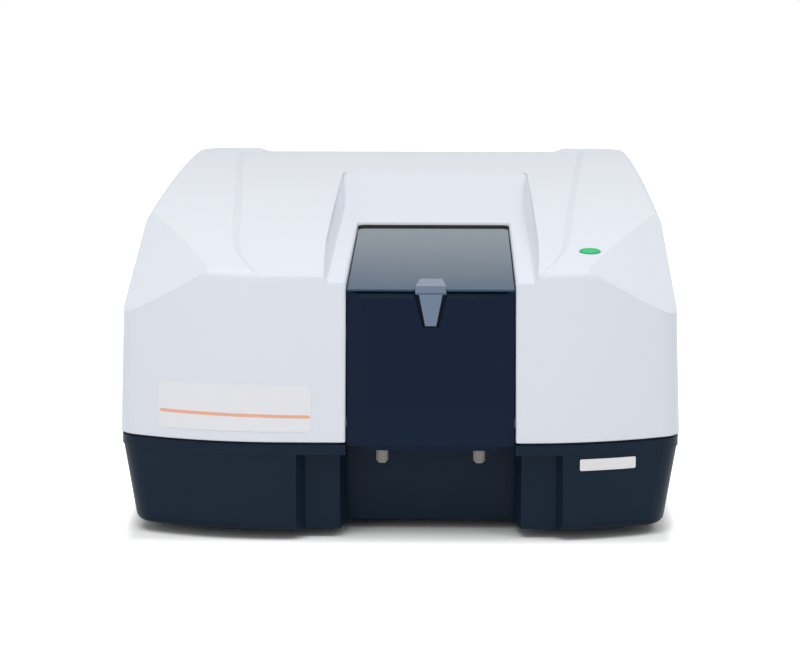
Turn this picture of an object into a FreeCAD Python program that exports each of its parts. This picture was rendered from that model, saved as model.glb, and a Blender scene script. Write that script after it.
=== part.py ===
import FreeCAD, Part
import math
import os

# Bench-top UV-Vis spectrophotometer. X runs to the right seen from the front,
# Y runs from the front to the rear and Z runs up from the table, in millimetres.
# The origin is on the table, under the middle of the instrument.

V = FreeCAD.Vector

# Housing: outline and heights
body_width = 462.0
body_depth = 602.0
half_width = body_width / 2
front_y = -body_depth / 2
rear_y = body_depth / 2
foot_height = 8.0
parting_height = 82.5
crown_front_height = 221.0
crown_rear_height = 268.0
crown_rise = 13.0
side_draft = 2.2
front_draft = 1.0
rear_draft = 0.3
front_flat_half = 95.0
front_bow_radius = 275.0
front_corner_radius = 24.0
rear_corner_radius = 30.0
top_edge_radius = 7.0

# Cover: wall, corner facets, centre channel and shoulders
cover_wall = 3.5
facet_apex_x = half_width - 81
facet_apex_y = front_y + 5
facet_corner_x = half_width - 6.5
facet_corner_y = front_y + 39
facet_corner_z = 183.0
facet_rear_x = half_width - 14
facet_rear_y = front_y + 178
channel_depth = 4.0
channel_step_width = 6.0
channel_half_width = half_width - 90
channel_bend_y = front_y + 96
channel_spread = 0.083
channel_curl_radius = 250.0
channel_close_y = rear_y - 35
channel_closed_y = rear_y - 11
channel_rear_half = 160.0
channel_rear_step_width = 10.0

# Lid, the recess that the cover has round it and the notch below it
lid_x = 26.0
lid_half_width = 66.9
lid_front_y = front_y + 1.4
lid_front_height = 207.5
lid_slope = 5.3
lid_length = 224.6
lid_rear_y = lid_front_y + lid_length
lid_wall = 3.0
lid_front_edge = 1.5
lid_skirt = 10.0
lid_corner_radius = 6.0
notch_gap = 1.0
notch_taper = 0.45
hinge_gap = 13.0
rim_width = 16.4
rim_edge_radius = 3.0
notch_edge_radius = 2.0
rim_front_height = 213.3
rim_slope = 4.8
recess_lean = 30.0
recess_corner_half = 89.0
recess_corner_radius = 10.0
ramp_foot_y = lid_rear_y + 67
ramp_top_y = lid_rear_y + 187
ramp_sag = 3.0
notch_lip_depth = 14.0
rear_strip_drop = 3.3
rear_strip_height = 9.0
rear_strip_thickness = 1.2

# Running and seating gaps
seat_gap = 0.3
slide_gap = 0.3
bearing_gap = 0.05

# Base pan
base_wall = 4.0
base_setback = 1.0
base_bottom_half_width = half_width - 13
rim_bottom = 72.0
rim_top = 80.5
rim_projection = 0.8
lip_setback = 1.5
bottom_edge_radius = 7.0
bay_rear_y = front_y + 43
bay_half_width = 66.0
bay_slant = 8.0
strip_y = front_y + 14
strip_width = 28.0
strip_slant = 8.0
foot_radius = 15.0
foot_x = half_width - 66
foot_front_y = front_y + 86
foot_rear_y = rear_y - 51

# Rear wall: opening, panel and what it carries
rear_opening_half = half_width - 66
rear_opening_bottom = 24.0
rear_opening_top = 190.0
rear_panel_overlap = 10.0
rear_panel_thickness = 1.6
fan_x = 53 - rear_opening_half
fan_z = 140.0
fan_size = 80.0
fan_depth = 25.0
fan_bore = 76.0
fan_hub = 32.0
fan_shaft = 4.0
fan_blades = 7
guard_thickness = 1.6
guard_rings = 4
inlet_x = rear_opening_half - 37
inlet_z = 50.0
inlet_width = 27.0
inlet_height = 19.8
inlet_depth = 18.0
inlet_wall = 1.6
inlet_flange = 5.0
rocker_x = inlet_x - 36
rocker_width = 12.0
rocker_height = 19.0
rocker_depth = 5.0
rocker_tilt = 8.0
usb_x = rocker_x - 47
usb_width = 12.0
usb_height = 10.8
usb_depth = 16.0
socket_flange = 1.6

# Sample compartment and its removable front panel
tub_half_width = 60.6
tub_front_y = front_y + 20
tub_rear_y = lid_rear_y - 19
tub_wall = 3.0
tub_flange = 2.5
seal_height = 2.4
bench_top = 92.0
beam_height = 128.0
sample_beam_y = front_y + 76
reference_beam_y = front_y + 166
window_radius = 12.0
window_thickness = 2.0
front_panel_depth = 12.0
front_panel_bottom = 79.0
front_panel_wall = 3.6
bevel_depth = 3.0
bevel_side_width = 9.5
bevel_top_height = 5.3
edge_strip = 3.0
lower_band_top = 111.0
lower_band_setback = 2.0
flange_bottom = 75.0
flange_thickness = 2.5
finger_recess_top_half = 15.0
finger_recess_bottom_half = 6.5
finger_recess_bottom = 177.0
finger_recess_depth = 4.2
thumbscrew_offset = 39.5
thumbscrew_y = front_y + 18.5
thumbscrew_radius = 4.9
thumbscrew_bottom = 62.5
thumbscrew_shank = 2.5
knurl_grooves = 18
liner_height = 5.0

# Lid hinge and handle
hinge_y = lid_rear_y - 13
hinge_drop = 5.4
hinge_pin_radius = 2.0
hinge_pin_half = 55.0
hinge_knuckle = 5.0
arm_x = 38.0
arm_width = 9.0
bracket_width = 8.0
bracket_plate = 2.5
tab_front_half = 12.3
tab_rear_half = 9.0
tab_length = 24.0
tab_rise = 3.0
tongue_top_half = 9.5
tongue_bottom_half = 4.4
tongue_bottom = 178.0
tongue_thickness = 2.6
neck_thickness = 4.0

# Cell holders and cells
holder_size = 30.0
holder_top = 148.0
holder_plate_half_x = 40.0
holder_plate_thickness = 6.0
cell_size = 12.5
cell_wall = 1.25
cell_height = 45.0
cell_floor = 113.0
cell_cap_height = 5.0
beam_hole_radius = 4.0

# Start button
button_x = half_width - 75
button_y = front_y + 61
button_radius = 8.5
button_proud = 0.5
button_cap = 3.5
button_stem_radius = 3.0
button_stem = 12.0
button_travel = 1.5
switch_entry = 2.0
collar_wall = 2.3
switch_size = 18.0
switch_depth = 9.0

# Optical bench and its supports
bench_half_width = half_width - 28
bench_front_y = front_y + 53
bench_rear_y = rear_y - 33
bench_thickness = 8.0
bench_rib_height = 10.0
bench_rib_width = 6.0
bench_rib_x = bench_half_width - 51
bench_rib_front_y = bench_front_y + 66
bench_rib_rear_y = bench_rear_y - 46
mount_radius = 8.0
mount_x = bench_half_width - 11
mount_front_y = bench_front_y + 48
mount_middle_y = bench_front_y + 156
mount_rear_y = bench_rear_y - 132
corner_mount_x = lid_x + 70.5
corner_mount_y = bench_front_y + 12
back_mount_y = bench_rear_y - 20
mount_spots = [(-mount_x, mount_front_y), (-mount_x, mount_middle_y), (-mount_x, mount_rear_y),
               (-mount_x / 2, back_mount_y), (corner_mount_x, corner_mount_y),
               (mount_x, mount_middle_y), (mount_x, mount_rear_y), (mount_x, back_mount_y)]

# Light source
source_x0 = 26 - half_width
source_x1 = source_x0 + 80
source_y1 = bench_rear_y - 6
source_y0 = source_y1 - 102
source_height = 80.0
housing_wall = 3.0
deuterium_y = source_y1 - 26
halogen_y = source_y1 - 78
lamp_x = (source_x0 + source_x1) / 2
lamp_base_height = 10.0
bulb_radius = 11.0
bulb_length = 40.0
source_mirror_x = source_x1 + 20
source_mirror_radius = 14.0

# Filter wheel and monochromator
filter_y = source_y0 - 20
filter_radius = 30.0
filter_thickness = 3.0
filter_count = 8
filter_circle = 22.0
filter_hole = 5.5
motor_radius = 14.0
motor_length = 28.0
mono_x0 = 24 - half_width
mono_x1 = mono_x0 + 125
mono_y0 = reference_beam_y + 65
mono_y1 = source_y0 - 48
mono_height = 74.0
mono_wall = 6.0
mono_cover_thickness = 3.0
entrance_x = source_mirror_x
exit_x = mono_x0 + 69.5
slit_thickness = 1.5
grating_x = mono_x0 + 57
grating_y = mono_y1 - 40
turret_radius = 20.0
turret_thickness = 8.0
grating_size = 30.0

# Sector mirror, fold mirrors and detector
sector_radius = 38.0
sector_offset = 26.0
sector_thickness = 2.0
fold_mirror_size = 26.0
fold_mirror_thickness = 5.0
detector_x0 = lid_x + tub_half_width + 16
detector_x1 = half_width - 26
detector_y0 = sample_beam_y - 23
detector_y1 = reference_beam_y + 27
detector_height = 82.0
detector_mirror_x = (detector_x0 + detector_x1) / 2 - 4.5
tube_radius = 14.0
tube_height = 60.0

# Electronics
supply_width = 140.0
supply_length = 138.0
supply_height = 44.0
supply_x0 = base_bottom_half_width - 38 - supply_width
supply_y0 = rear_y - 43 - supply_length
board_x0 = 48 - base_bottom_half_width
board_y0 = front_y + 201
board_width = 160.0
board_length = 280.0
board_height = 10.0
board_pillar_radius = 3.5
board_thickness = 1.6

# Fasteners
cover_screw_x = rear_opening_half - 35
screw_radius = 2.0
screw_head_radius = 4.0
screw_head_height = 2.2
screw_proud = 0.2


def box(x0, x1, y0, y1, z0, z1):
    """Solid box between two corners."""
    return Part.makeBox(x1 - x0, y1 - y0, z1 - z0, V(x0, y0, z0))


def prism(points, travel):
    """Solid swept from a flat polygon."""
    wire = Part.makePolygon(points + [points[0]])
    return Part.Face(wire).extrude(travel)


def prism_x(yz_points, x0, x1):
    """Solid with a side outline, from x0 to x1."""
    return prism([V(x0, y, z) for y, z in yz_points], V(x1 - x0, 0, 0))


def prism_y(xz_points, y0, y1):
    """Solid with a front outline, from y0 to y1."""
    return prism([V(x, y0, z) for x, z in xz_points], V(0, y1 - y0, 0))


def prism_z(xy_points, z0, z1):
    """Solid with a plan outline, from z0 to z1."""
    return prism([V(x, y, z0) for x, y in xy_points], V(0, 0, z1 - z0))


def slope(degrees):
    """Rise per length of an angle."""
    return math.tan(math.radians(degrees))


def body_outline(side_x, front_wall_y, rear_wall_y, z, inset):
    """Plan outline: flat front, bowed front quarters, rounded corners."""
    half = side_x - inset
    front = front_wall_y + inset
    rear = rear_wall_y - inset
    bow = front_bow_radius - inset
    corner = front_corner_radius - inset
    back = rear_corner_radius - inset
    flat = front_flat_half
    bow_centre = V(flat, front + bow, z)
    reach = half - corner - flat
    corner_y = front + bow - math.sqrt((bow - corner) ** 2 - reach ** 2)
    corner_centre = V(half - corner, corner_y, z)
    joint_angle = math.atan2(corner_centre.y - bow_centre.y, corner_centre.x - bow_centre.x)

    def on_circle(centre, radius, angle):
        return centre + V(radius * math.cos(angle), radius * math.sin(angle), 0)

    down = -math.pi / 2
    bow_start = V(flat, front, z)
    bow_middle = on_circle(bow_centre, bow, (down + joint_angle) / 2)
    joint = on_circle(bow_centre, bow, joint_angle)
    corner_middle = on_circle(corner_centre, corner, joint_angle / 2)
    side_front = V(half, corner_y, z)
    side_rear = V(half, rear - back, z)
    rear_centre = V(half - back, rear - back, z)
    rear_middle = on_circle(rear_centre, back, math.pi / 4)
    rear_end = V(half - back, rear, z)

    def flip(point):
        return V(-point.x, point.y, point.z)

    right = [
        Part.Arc(bow_start, bow_middle, joint).toShape(),
        Part.Arc(joint, corner_middle, side_front).toShape(),
        Part.makeLine(side_front, side_rear),
        Part.Arc(side_rear, rear_middle, rear_end).toShape(),
    ]
    left = [
        Part.Arc(flip(rear_end), flip(rear_middle), flip(side_rear)).toShape(),
        Part.makeLine(flip(side_rear), flip(side_front)),
        Part.Arc(flip(side_front), flip(corner_middle), flip(joint)).toShape(),
        Part.Arc(flip(joint), flip(bow_middle), flip(bow_start)).toShape(),
    ]
    rear_line = Part.makeLine(rear_end, flip(rear_end))
    front_line = Part.makeLine(flip(bow_start), bow_start)
    return Part.Wire(right + [rear_line] + left + [front_line])


def cover_outline(z, inset):
    """Plan outline of the cover at height z, with its draft."""
    rise = z - parting_height
    half = half_width - rise * slope(side_draft)
    front = front_y + rise * slope(front_draft)
    rear = rear_y - rise * slope(rear_draft)
    return body_outline(half, front, rear, z, inset)


def crown_circle():
    """Centre (y, z) and radius of the arc over the top, seen from the side."""
    climb = crown_rear_height - crown_front_height
    chord = math.hypot(body_depth, climb)
    radius = chord ** 2 / (8 * crown_rise) + crown_rise / 2
    middle_z = (crown_front_height + crown_rear_height) / 2
    drop = radius - crown_rise
    centre_y = drop * climb / chord
    centre_z = middle_z - drop * body_depth / chord
    return centre_y, centre_z, radius


def crown_height(y):
    """Height of the top surface over the shoulders."""
    centre_y, centre_z, radius = crown_circle()
    return centre_z + math.sqrt(radius ** 2 - (y - centre_y) ** 2)


def below_crown(inset):
    """Everything under the crown arc."""
    reach = body_depth
    centre_y, centre_z, radius = crown_circle()
    lower = radius - inset

    def arc_point(y):
        return V(-body_width, y, centre_z + math.sqrt(lower ** 2 - (y - centre_y) ** 2))

    front = arc_point(-reach)
    rear = arc_point(reach)
    arc = Part.Arc(front, arc_point(0), rear).toShape()
    floor_front = V(-body_width, -reach, 0)
    floor_rear = V(-body_width, reach, 0)
    edges = [
        arc,
        Part.makeLine(rear, floor_rear),
        Part.makeLine(floor_rear, floor_front),
        Part.makeLine(floor_front, front),
    ]
    return Part.Face(Part.Wire(edges)).extrude(V(2 * body_width, 0, 0))


def facet_cutter(side, inset):
    """Block beyond the flat facet of one front corner."""
    apex = V(side * facet_apex_x, facet_apex_y, crown_height(facet_apex_y))
    corner = V(side * facet_corner_x, facet_corner_y, facet_corner_z)
    rear = V(side * facet_rear_x, facet_rear_y, crown_height(facet_rear_y))
    normal = (corner - apex).cross(rear - apex)
    normal.normalize()
    if normal.z < 0:
        normal = -normal
    reach = body_width
    block = Part.makeBox(2 * reach, 2 * reach, reach, V(-reach, -reach, 0))
    turn = FreeCAD.Rotation(V(0, 0, 1), normal)
    block.Placement = FreeCAD.Placement(apex - normal * inset, turn)
    return block


def channel_edge(y):
    """Half width of the centre channel at its upper edge."""
    half = channel_half_width + (y - channel_bend_y) * channel_spread
    if y < channel_bend_y:
        half -= (channel_bend_y - y) ** 2 / (2 * channel_curl_radius)
    return half


def channel_section(y, half, step_width, inset):
    """Cross-section of the space over the centre channel."""
    floor = crown_height(y) - channel_depth - inset
    over = 3 * channel_depth + inset
    inner = half - step_width + inset
    outer = inner + over * step_width / channel_depth
    points = [
        V(-inner, y, floor),
        V(inner, y, floor),
        V(outer, y, floor + over),
        V(-outer, y, floor + over),
    ]
    return Part.makePolygon(points + [points[0]])


def channel_cutter(inset):
    """Space that lowers the top between the shoulders and closes in at the rear."""
    bend_stations = [front_y - 30, front_y + 6, front_y + 39, front_y + 69, channel_bend_y]
    span = channel_close_y - channel_bend_y
    straight_stations = [channel_bend_y + span * step / 4 for step in range(1, 5)]
    wide = []
    for y in bend_stations + straight_stations:
        wide.append(channel_section(y, channel_edge(y), channel_step_width, inset))
    narrow = [wide[-1]]
    for y in (channel_closed_y, rear_y + 20):
        narrow.append(channel_section(y, channel_rear_half, channel_rear_step_width, inset))
    return Part.makeLoft(wide, True, False).fuse(Part.makeLoft(narrow, True, True))


def rim_height(y):
    """Height of the flat rim beside the lid."""
    return rim_front_height + (y - front_y) * slope(rim_slope)


def recess_cutter(inset):
    """Space over the rim, with leaning side walls and a ramp at the rear."""
    half = lid_half_width + rim_width + inset
    stations = [front_y - 20, ramp_top_y + 60]
    high = crown_rear_height + 20
    sections = []
    for y in stations:
        floor = rim_height(y) - inset
        spread = (high - floor) * slope(recess_lean)
        points = [
            V(lid_x - half, y, floor),
            V(lid_x + half, y, floor),
            V(lid_x + half + spread, y, high),
            V(lid_x - half - spread, y, high),
        ]
        sections.append(Part.makePolygon(points + [points[0]]))
    trough = Part.makeLoft(sections, True, True)
    foot = V(-body_width, ramp_foot_y, rim_height(ramp_foot_y) - inset)
    top_z = crown_height(ramp_top_y) - channel_depth
    top = V(-body_width, ramp_top_y, top_z - inset)
    middle = (foot + top) / 2 - V(0, 0, ramp_sag)
    start = V(-body_width, stations[0], rim_height(stations[0]) - inset)
    start_high = V(-body_width, stations[0], high)
    top_high = V(-body_width, ramp_top_y + inset, high)
    edges = [
        Part.makeLine(start, foot),
        Part.Arc(foot, middle, top).toShape(),
        Part.makeLine(top, top_high),
        Part.makeLine(top_high, start_high),
        Part.makeLine(start_high, start),
    ]
    over_floor = Part.Face(Part.Wire(edges)).extrude(V(2 * body_width, 0, 0))
    corner_half = recess_corner_half + inset
    plan = box(lid_x - corner_half, lid_x + corner_half, stations[0], ramp_top_y + inset, 0, high)
    corners = []
    for edge in plan.Edges:
        ends = [v.Point for v in edge.Vertexes]
        if abs(ends[0].z - ends[1].z) > 1 and ends[0].y > ramp_top_y - 1:
            corners.append(edge)
    plan = plan.makeFillet(recess_corner_radius + inset, corners)
    return trough.common(over_floor).common(plan)


def cover_form(inset):
    """Outer form of the cover, or its cavity when inset is the wall."""
    bottom = parting_height if inset == 0 else parting_height - 5
    top = crown_rear_height + 10
    form = Part.makeLoft([cover_outline(bottom, inset), cover_outline(top, inset)], True, True)
    form = form.common(below_crown(inset))
    if inset == 0:
        form = round_top_edges(form)
    for side in (-1, 1):
        form = form.cut(facet_cutter(side, inset))
    form = form.cut(channel_cutter(inset))
    return form.cut(recess_cutter(inset))


def round_top_edges(form):
    """Rounds the edge between the crown and the sides and rear."""
    edges = []
    for edge in form.Edges:
        points = [v.Point for v in edge.Vertexes]
        high = all(p.z > facet_corner_z for p in points)
        level = abs(edge.tangentAt(edge.FirstParameter).z) < 0.5
        behind = all(p.y > front_y + front_corner_radius * 0.5 for p in points)
        if high and level and behind:
            edges.append(edge)
    return form.makeFillet(top_edge_radius, edges)


def cylinder(start, axis, radius, length):
    """Solid cylinder from a point along an axis."""
    return Part.makeCylinder(radius, length, start, axis)


def join(shapes):
    """One solid from overlapping or touching ones."""
    first = shapes[0]
    return first.multiFuse(shapes[1:]).removeSplitter() if len(shapes) > 1 else first


def compound(solids):
    """Separate solids that share one node."""
    return Part.makeCompound(solids)


def both_sides(shape):
    """A shape and its mirror image about the middle plane."""
    return [shape, shape.mirror(V(0, 0, 0), V(1, 0, 0))]


def screw(seat, outward, length):
    """Pan head screw: seat is the face under its head."""
    head = cylinder(seat, outward, screw_head_radius, screw_head_height)
    shank = cylinder(seat, -outward, screw_radius, length)
    return head.fuse(shank)


def flush_screw(face, inward, length):
    """Sunk cheese head screw, or its hole: face is the middle of its head."""
    head = cylinder(face, inward, screw_head_radius, screw_head_height)
    return head.fuse(cylinder(face, inward, screw_radius, length))


def lid_top(y):
    """Height of the lid's top face."""
    return lid_front_height + (y - lid_front_y) * slope(lid_slope)


def lid_under(y):
    """Height of the lid's underside."""
    return lid_top(y) - lid_wall


def notch_half(z, gap):
    """Half width of the notch for the lid at height z, less a gap."""
    return lid_half_width + notch_gap - gap + (rim_front_height - z) * slope(notch_taper)


def notch_prism(gap, z0, z1, y0, y1):
    """Tapered block that fills the notch, less a gap at each side."""
    points = [
        (lid_x - notch_half(z0, gap), z0),
        (lid_x + notch_half(z0, gap), z0),
        (lid_x + notch_half(z1, gap), z1),
        (lid_x - notch_half(z1, gap), z1),
    ]
    return prism_y(points, y0, y1)


def notch_rear():
    """Rear end of the notch in the cover."""
    return lid_rear_y + hinge_gap


def over_rim(drop):
    """Everything above a plane below the rim."""
    front = -body_depth
    rear = body_depth
    high = crown_rear_height * 2
    points = [
        (front, rim_height(front) - drop),
        (rear, rim_height(rear) - drop),
        (rear, high),
        (front, high),
    ]
    return prism_x(points, -body_width, body_width)


def button_frame():
    """Centre of the start button on the crown, and the outward direction."""
    centre_y, centre_z, radius = crown_circle()
    point = V(button_x, button_y, crown_height(button_y))
    outward = V(0, button_y - centre_y, point.z - centre_z)
    outward.normalize()
    return point, outward


def make_top_cover():
    """Moulded cover with notch, rear opening and hole for the button."""
    form = cover_form(0)
    cavity = cover_form(cover_wall)
    low = parting_height - 10
    high = crown_rear_height + 10
    ahead = -body_depth
    surround = notch_prism(-cover_wall, low, high, ahead, notch_rear() + cover_wall)
    lips = surround.common(over_rim(notch_lip_depth))
    front_return = notch_prism(-cover_wall, low, high, ahead, front_y + notch_lip_depth)
    cavity = cavity.cut(lips).cut(front_return)
    shell = form.cut(cavity)
    notch = notch_block(0)
    point, outward = button_frame()
    hole = cylinder(point - outward * 10, outward, button_radius + slide_gap, 20)
    shell = shell.cut(compound([notch, rear_opening(), hole, make_cover_screws()]))
    shell = shell.makeFillet(rim_edge_radius, rim_edges(shell))
    return shell.makeFillet(notch_edge_radius, notch_front_edges(shell))


def notch_front_edges(shell):
    """Upright edges between the cover's front and the sides of the notch."""
    edges = []
    for edge in shell.Edges:
        points = [v.Point for v in edge.Vertexes]
        if any(p.y > front_y + rim_edge_radius for p in points):
            continue
        on_side = all(abs(abs(p.x - lid_x) - notch_half(p.z, 0)) < 0.05 for p in points)
        if on_side and abs(points[0].z - points[-1].z) > 1:
            edges.append(edge)
    return edges


def rim_edges(shell):
    """Edges between the flat rim and the notch at its rear, from which the rounding runs on."""
    start = notch_rear() - lid_corner_radius - 1
    edges = []
    for edge in shell.Edges:
        points = [v.Point for v in edge.Vertexes]
        on_rim = all(abs(p.z - rim_height(p.y)) < 0.05 for p in points)
        if on_rim and all(start < p.y < notch_rear() + 1 for p in points):
            edges.append(edge)
    return edges


def notch_block(gap):
    """Space of the notch with rounded rear corners, less a gap at sides and rear."""
    low = parting_height - 10
    high = crown_rear_height + 10
    rear = notch_rear() - gap
    block = notch_prism(gap, low, high, -body_depth, rear)
    corners = []
    for edge in block.Edges:
        ends = [v.Point for v in edge.Vertexes]
        upright = abs(ends[0].z - ends[1].z) > 50
        if upright and min(p.y for p in ends) > rear - 1:
            corners.append(edge)
    return block.makeFillet(lid_corner_radius - gap, corners)


def make_rear_strip():
    """Black foam strip round the rear end of the notch, under its rounded edge."""
    ring = notch_block(0).cut(notch_block(rear_strip_thickness))
    below_edge = over_rim(rear_strip_drop + rear_strip_height).cut(over_rim(rear_strip_drop))
    start = notch_rear() - lid_corner_radius
    rear_end = box(-body_width, body_width, start, rear_y, 0, crown_rear_height)
    return ring.common(below_edge).common(rear_end)


def rear_opening():
    """Opening in the rear walls of cover and pan."""
    return box(
        -rear_opening_half, rear_opening_half,
        rear_y - 20, rear_y + 20,
        rear_opening_bottom, rear_opening_top,
    )


def base_outline(side_x):
    """Plan outline function of the pan for one half width."""
    front = front_y + base_setback
    rear = rear_y - base_setback

    def outline(z, inset):
        return body_outline(side_x, front, rear, z, inset)

    return outline


def pan_form(inset):
    """Outer form of the pan, or its cavity when inset is the wall."""
    rim_half = half_width - base_setback
    bottom = foot_height + inset
    under = base_outline(base_bottom_half_width)(foot_height, inset)
    under_rim = base_outline(rim_half)(rim_bottom, inset + rim_projection)
    tapered = Part.makeLoft([under, under_rim], True, True)
    if inset == 0:
        edges = [e for e in tapered.Edges if all(v.Point.z < foot_height + 1 for v in e.Vertexes)]
        tapered = tapered.makeFillet(bottom_edge_radius, edges)
    else:
        tapered = tapered.cut(box(-body_width, body_width, -body_depth, body_depth, 0, bottom))
    top = rim_top if inset == 0 else rim_top + 10
    rim_shape = Part.makeLoft(
        [base_outline(rim_half)(rim_bottom, inset), base_outline(rim_half)(top, inset)], True, True
    )
    return tapered.fuse(rim_shape)


def front_cuts(wall):
    """Bay and strips in the front of the pan, grown by a wall for the inside."""
    ahead = front_y - 20
    outer = bay_half_width + bay_slant
    strip = outer + strip_width
    reach = strip + strip_slant * (strip_y - ahead) / (strip_y - front_y)
    right = [
        (lid_x + reach, ahead),
        (lid_x + strip, strip_y),
        (lid_x + outer, strip_y),
        (lid_x + bay_half_width, bay_rear_y),
    ]
    left = [(2 * lid_x - x, y) for x, y in reversed(right)]
    lower = prism_z(right + left, 0, rim_bottom)
    mouth = notch_half(parting_height, 0)
    upper = box(lid_x - mouth, lid_x + mouth, ahead, bay_rear_y, 0, parting_height + 1)
    if wall == 0:
        return lower.fuse(upper)
    lower_face = Part.Face(Part.makePolygon([V(x, y, 0) for x, y in right + left + [right[0]]]))
    grown = lower_face.makeOffset2D(wall, 2).extrude(V(0, 0, rim_bottom + wall))
    wide = mouth + wall
    grown_upper = box(lid_x - wide, lid_x + wide, ahead, bay_rear_y + wall, 0, parting_height + 20)
    return grown.fuse(grown_upper)


def make_base_pan():
    """Tapered pan with rim, lip, front bay, strips and rear opening."""
    form = pan_form(0).cut(front_cuts(0))
    cavity = pan_form(base_wall).cut(front_cuts(base_wall))
    rim_half = half_width - base_setback
    lip_outline = base_outline(rim_half)
    lip = Part.makeLoft(
        [lip_outline(rim_top - 5, lip_setback), lip_outline(parting_height, lip_setback)], True, True
    )
    mouth = notch_half(parting_height, 0) + base_wall
    lip = lip.cut(box(lid_x - mouth, lid_x + mouth, -body_depth, bay_rear_y, 0, parting_height + 1))
    bay_wall = box(lid_x - mouth, lid_x + mouth, bay_rear_y, bay_rear_y + base_wall + 1, rim_bottom, 99)
    lip = lip.cut(box(lid_x - mouth, lid_x + mouth, bay_rear_y, 0, rim_top, parting_height + 1))
    low_wall = box(
        lid_x - mouth, lid_x + mouth, -body_depth, bay_rear_y + base_wall + 1,
        flange_bottom - seat_gap, parting_height + 1,
    )
    pan = form.fuse(lip).cut(cavity).cut(low_wall.common(bay_wall)).fuse(board_pillars())
    return pan.cut(rear_opening()).cut(make_rear_screws())


def make_feet():
    """Four round rubber feet under the pan."""
    feet = []
    for y in (foot_front_y, foot_rear_y):
        foot = cylinder(V(foot_x, y, 0), V(0, 0, 1), foot_radius, foot_height)
        lower = [e for e in foot.Edges if e.BoundBox.ZMax < 0.1]
        feet += both_sides(foot.makeChamfer(1.5, lower))
    return compound(feet)


def rear_panel_face():
    """Y of the rear panel's outer face, which lies on the pan's rear wall inside."""
    return rear_y - base_setback - base_wall - rim_projection


def pan_screw_places():
    """X of the screws through the pan's rear wall."""
    middle = rear_opening_half + rear_panel_overlap / 2
    return (-middle, middle)


def pan_screw_heights():
    """Heights of the screws through the pan's rear wall."""
    return (rear_opening_bottom + 10, rim_bottom - 10)


def cover_screw_places():
    """X of the screws through the cover's rear wall."""
    return (-cover_screw_x, cover_screw_x)


def cover_screw_height():
    """Height of the screws through the cover's rear wall."""
    return rear_opening_top + rear_panel_overlap / 2


def socket_block(x, z, width, height, y0, y1):
    """Block centred on a socket, from y0 to y1."""
    return box(x - width / 2, x + width / 2, y0, y1, z - height / 2, z + height / 2)


def make_rear_panel():
    """Sheet panel behind the rear opening with its cut-outs."""
    outer = rear_panel_face()
    inner = outer - rear_panel_thickness
    half = rear_opening_half + rear_panel_overlap
    bottom = rear_opening_bottom - rear_panel_overlap
    top = rear_opening_top + rear_panel_overlap
    panel = box(-half, half, inner, outer, bottom, top)
    cuts = [cylinder(V(fan_x, inner - 5, fan_z), V(0, 1, 0), fan_bore / 2, 20)]
    cuts.append(socket_block(inlet_x, inlet_z, inlet_width, inlet_height, inner - 5, outer + 5))
    cuts.append(
        socket_block(rocker_x, inlet_z, rocker_width + 4, rocker_height + 4, inner - 5, outer + 5)
    )
    cuts.append(socket_block(usb_x, inlet_z, usb_width, usb_height, inner - 5, outer + 5))
    for x, z in guard_screw_places():
        cuts.append(cylinder(V(x, inner - 5, z), V(0, 1, 0), screw_radius, 20))
    return panel.cut(compound(cuts + [make_rear_screws(), make_cover_screws()]))


def make_rear_screws():
    """Screws that hold the rear panel to the pan."""
    face_y = rear_y - base_setback + screw_proud
    length = face_y - rear_panel_face() + rear_panel_thickness + 2
    screws = []
    for x in pan_screw_places():
        for z in pan_screw_heights():
            screws.append(flush_screw(V(x, face_y, z), V(0, -1, 0), length))
    return compound(screws)


def cover_rear_face(z):
    """Y of the cover's rear face at height z."""
    return rear_y - (z - parting_height) * slope(rear_draft)


def make_cover_screws():
    """Screws that hold the cover to the rear panel."""
    z = cover_screw_height()
    face_y = cover_rear_face(z) + screw_proud
    length = face_y - rear_panel_face() + rear_panel_thickness + 2
    screws = []
    for x in cover_screw_places():
        screws.append(flush_screw(V(x, face_y, z), V(0, -1, 0), length))
    return compound(screws)


def guard_screw_places():
    """X and Z of the four fan screws."""
    reach = fan_size / 2 - 4.5
    return [(fan_x + sx * reach, fan_z + sz * reach) for sx in (-1, 1) for sz in (-1, 1)]


def fan_inner():
    """Y of the fan frame's inner end."""
    return rear_panel_face() - rear_panel_thickness - fan_depth


def make_fan_frame():
    """Square fan frame with struts and a bearing hub."""
    y0 = fan_inner()
    frame = socket_block(fan_x, fan_z, fan_size, fan_size, y0, y0 + fan_depth)
    centre = V(fan_x, y0 - 1, fan_z)
    frame = frame.cut(cylinder(centre, V(0, 1, 0), fan_bore / 2, fan_depth + 2))
    pieces = [frame, cylinder(V(fan_x, y0, fan_z), V(0, 1, 0), fan_hub / 2, 3)]
    reach = fan_bore / 2 + 1
    pieces.append(box(fan_x - reach, fan_x + reach, y0, y0 + 3, fan_z - 2, fan_z + 2))
    pieces.append(box(fan_x - 2, fan_x + 2, y0, y0 + 3, fan_z - reach, fan_z + reach))
    frame = join(pieces)
    for x, z in guard_screw_places():
        frame = frame.cut(cylinder(V(x, y0 - 1, z), V(0, 1, 0), screw_radius, fan_depth + 2))
    bearing = cylinder(centre, V(0, 1, 0), fan_shaft / 2 + bearing_gap, fan_depth)
    return frame.cut(bearing)


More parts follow.
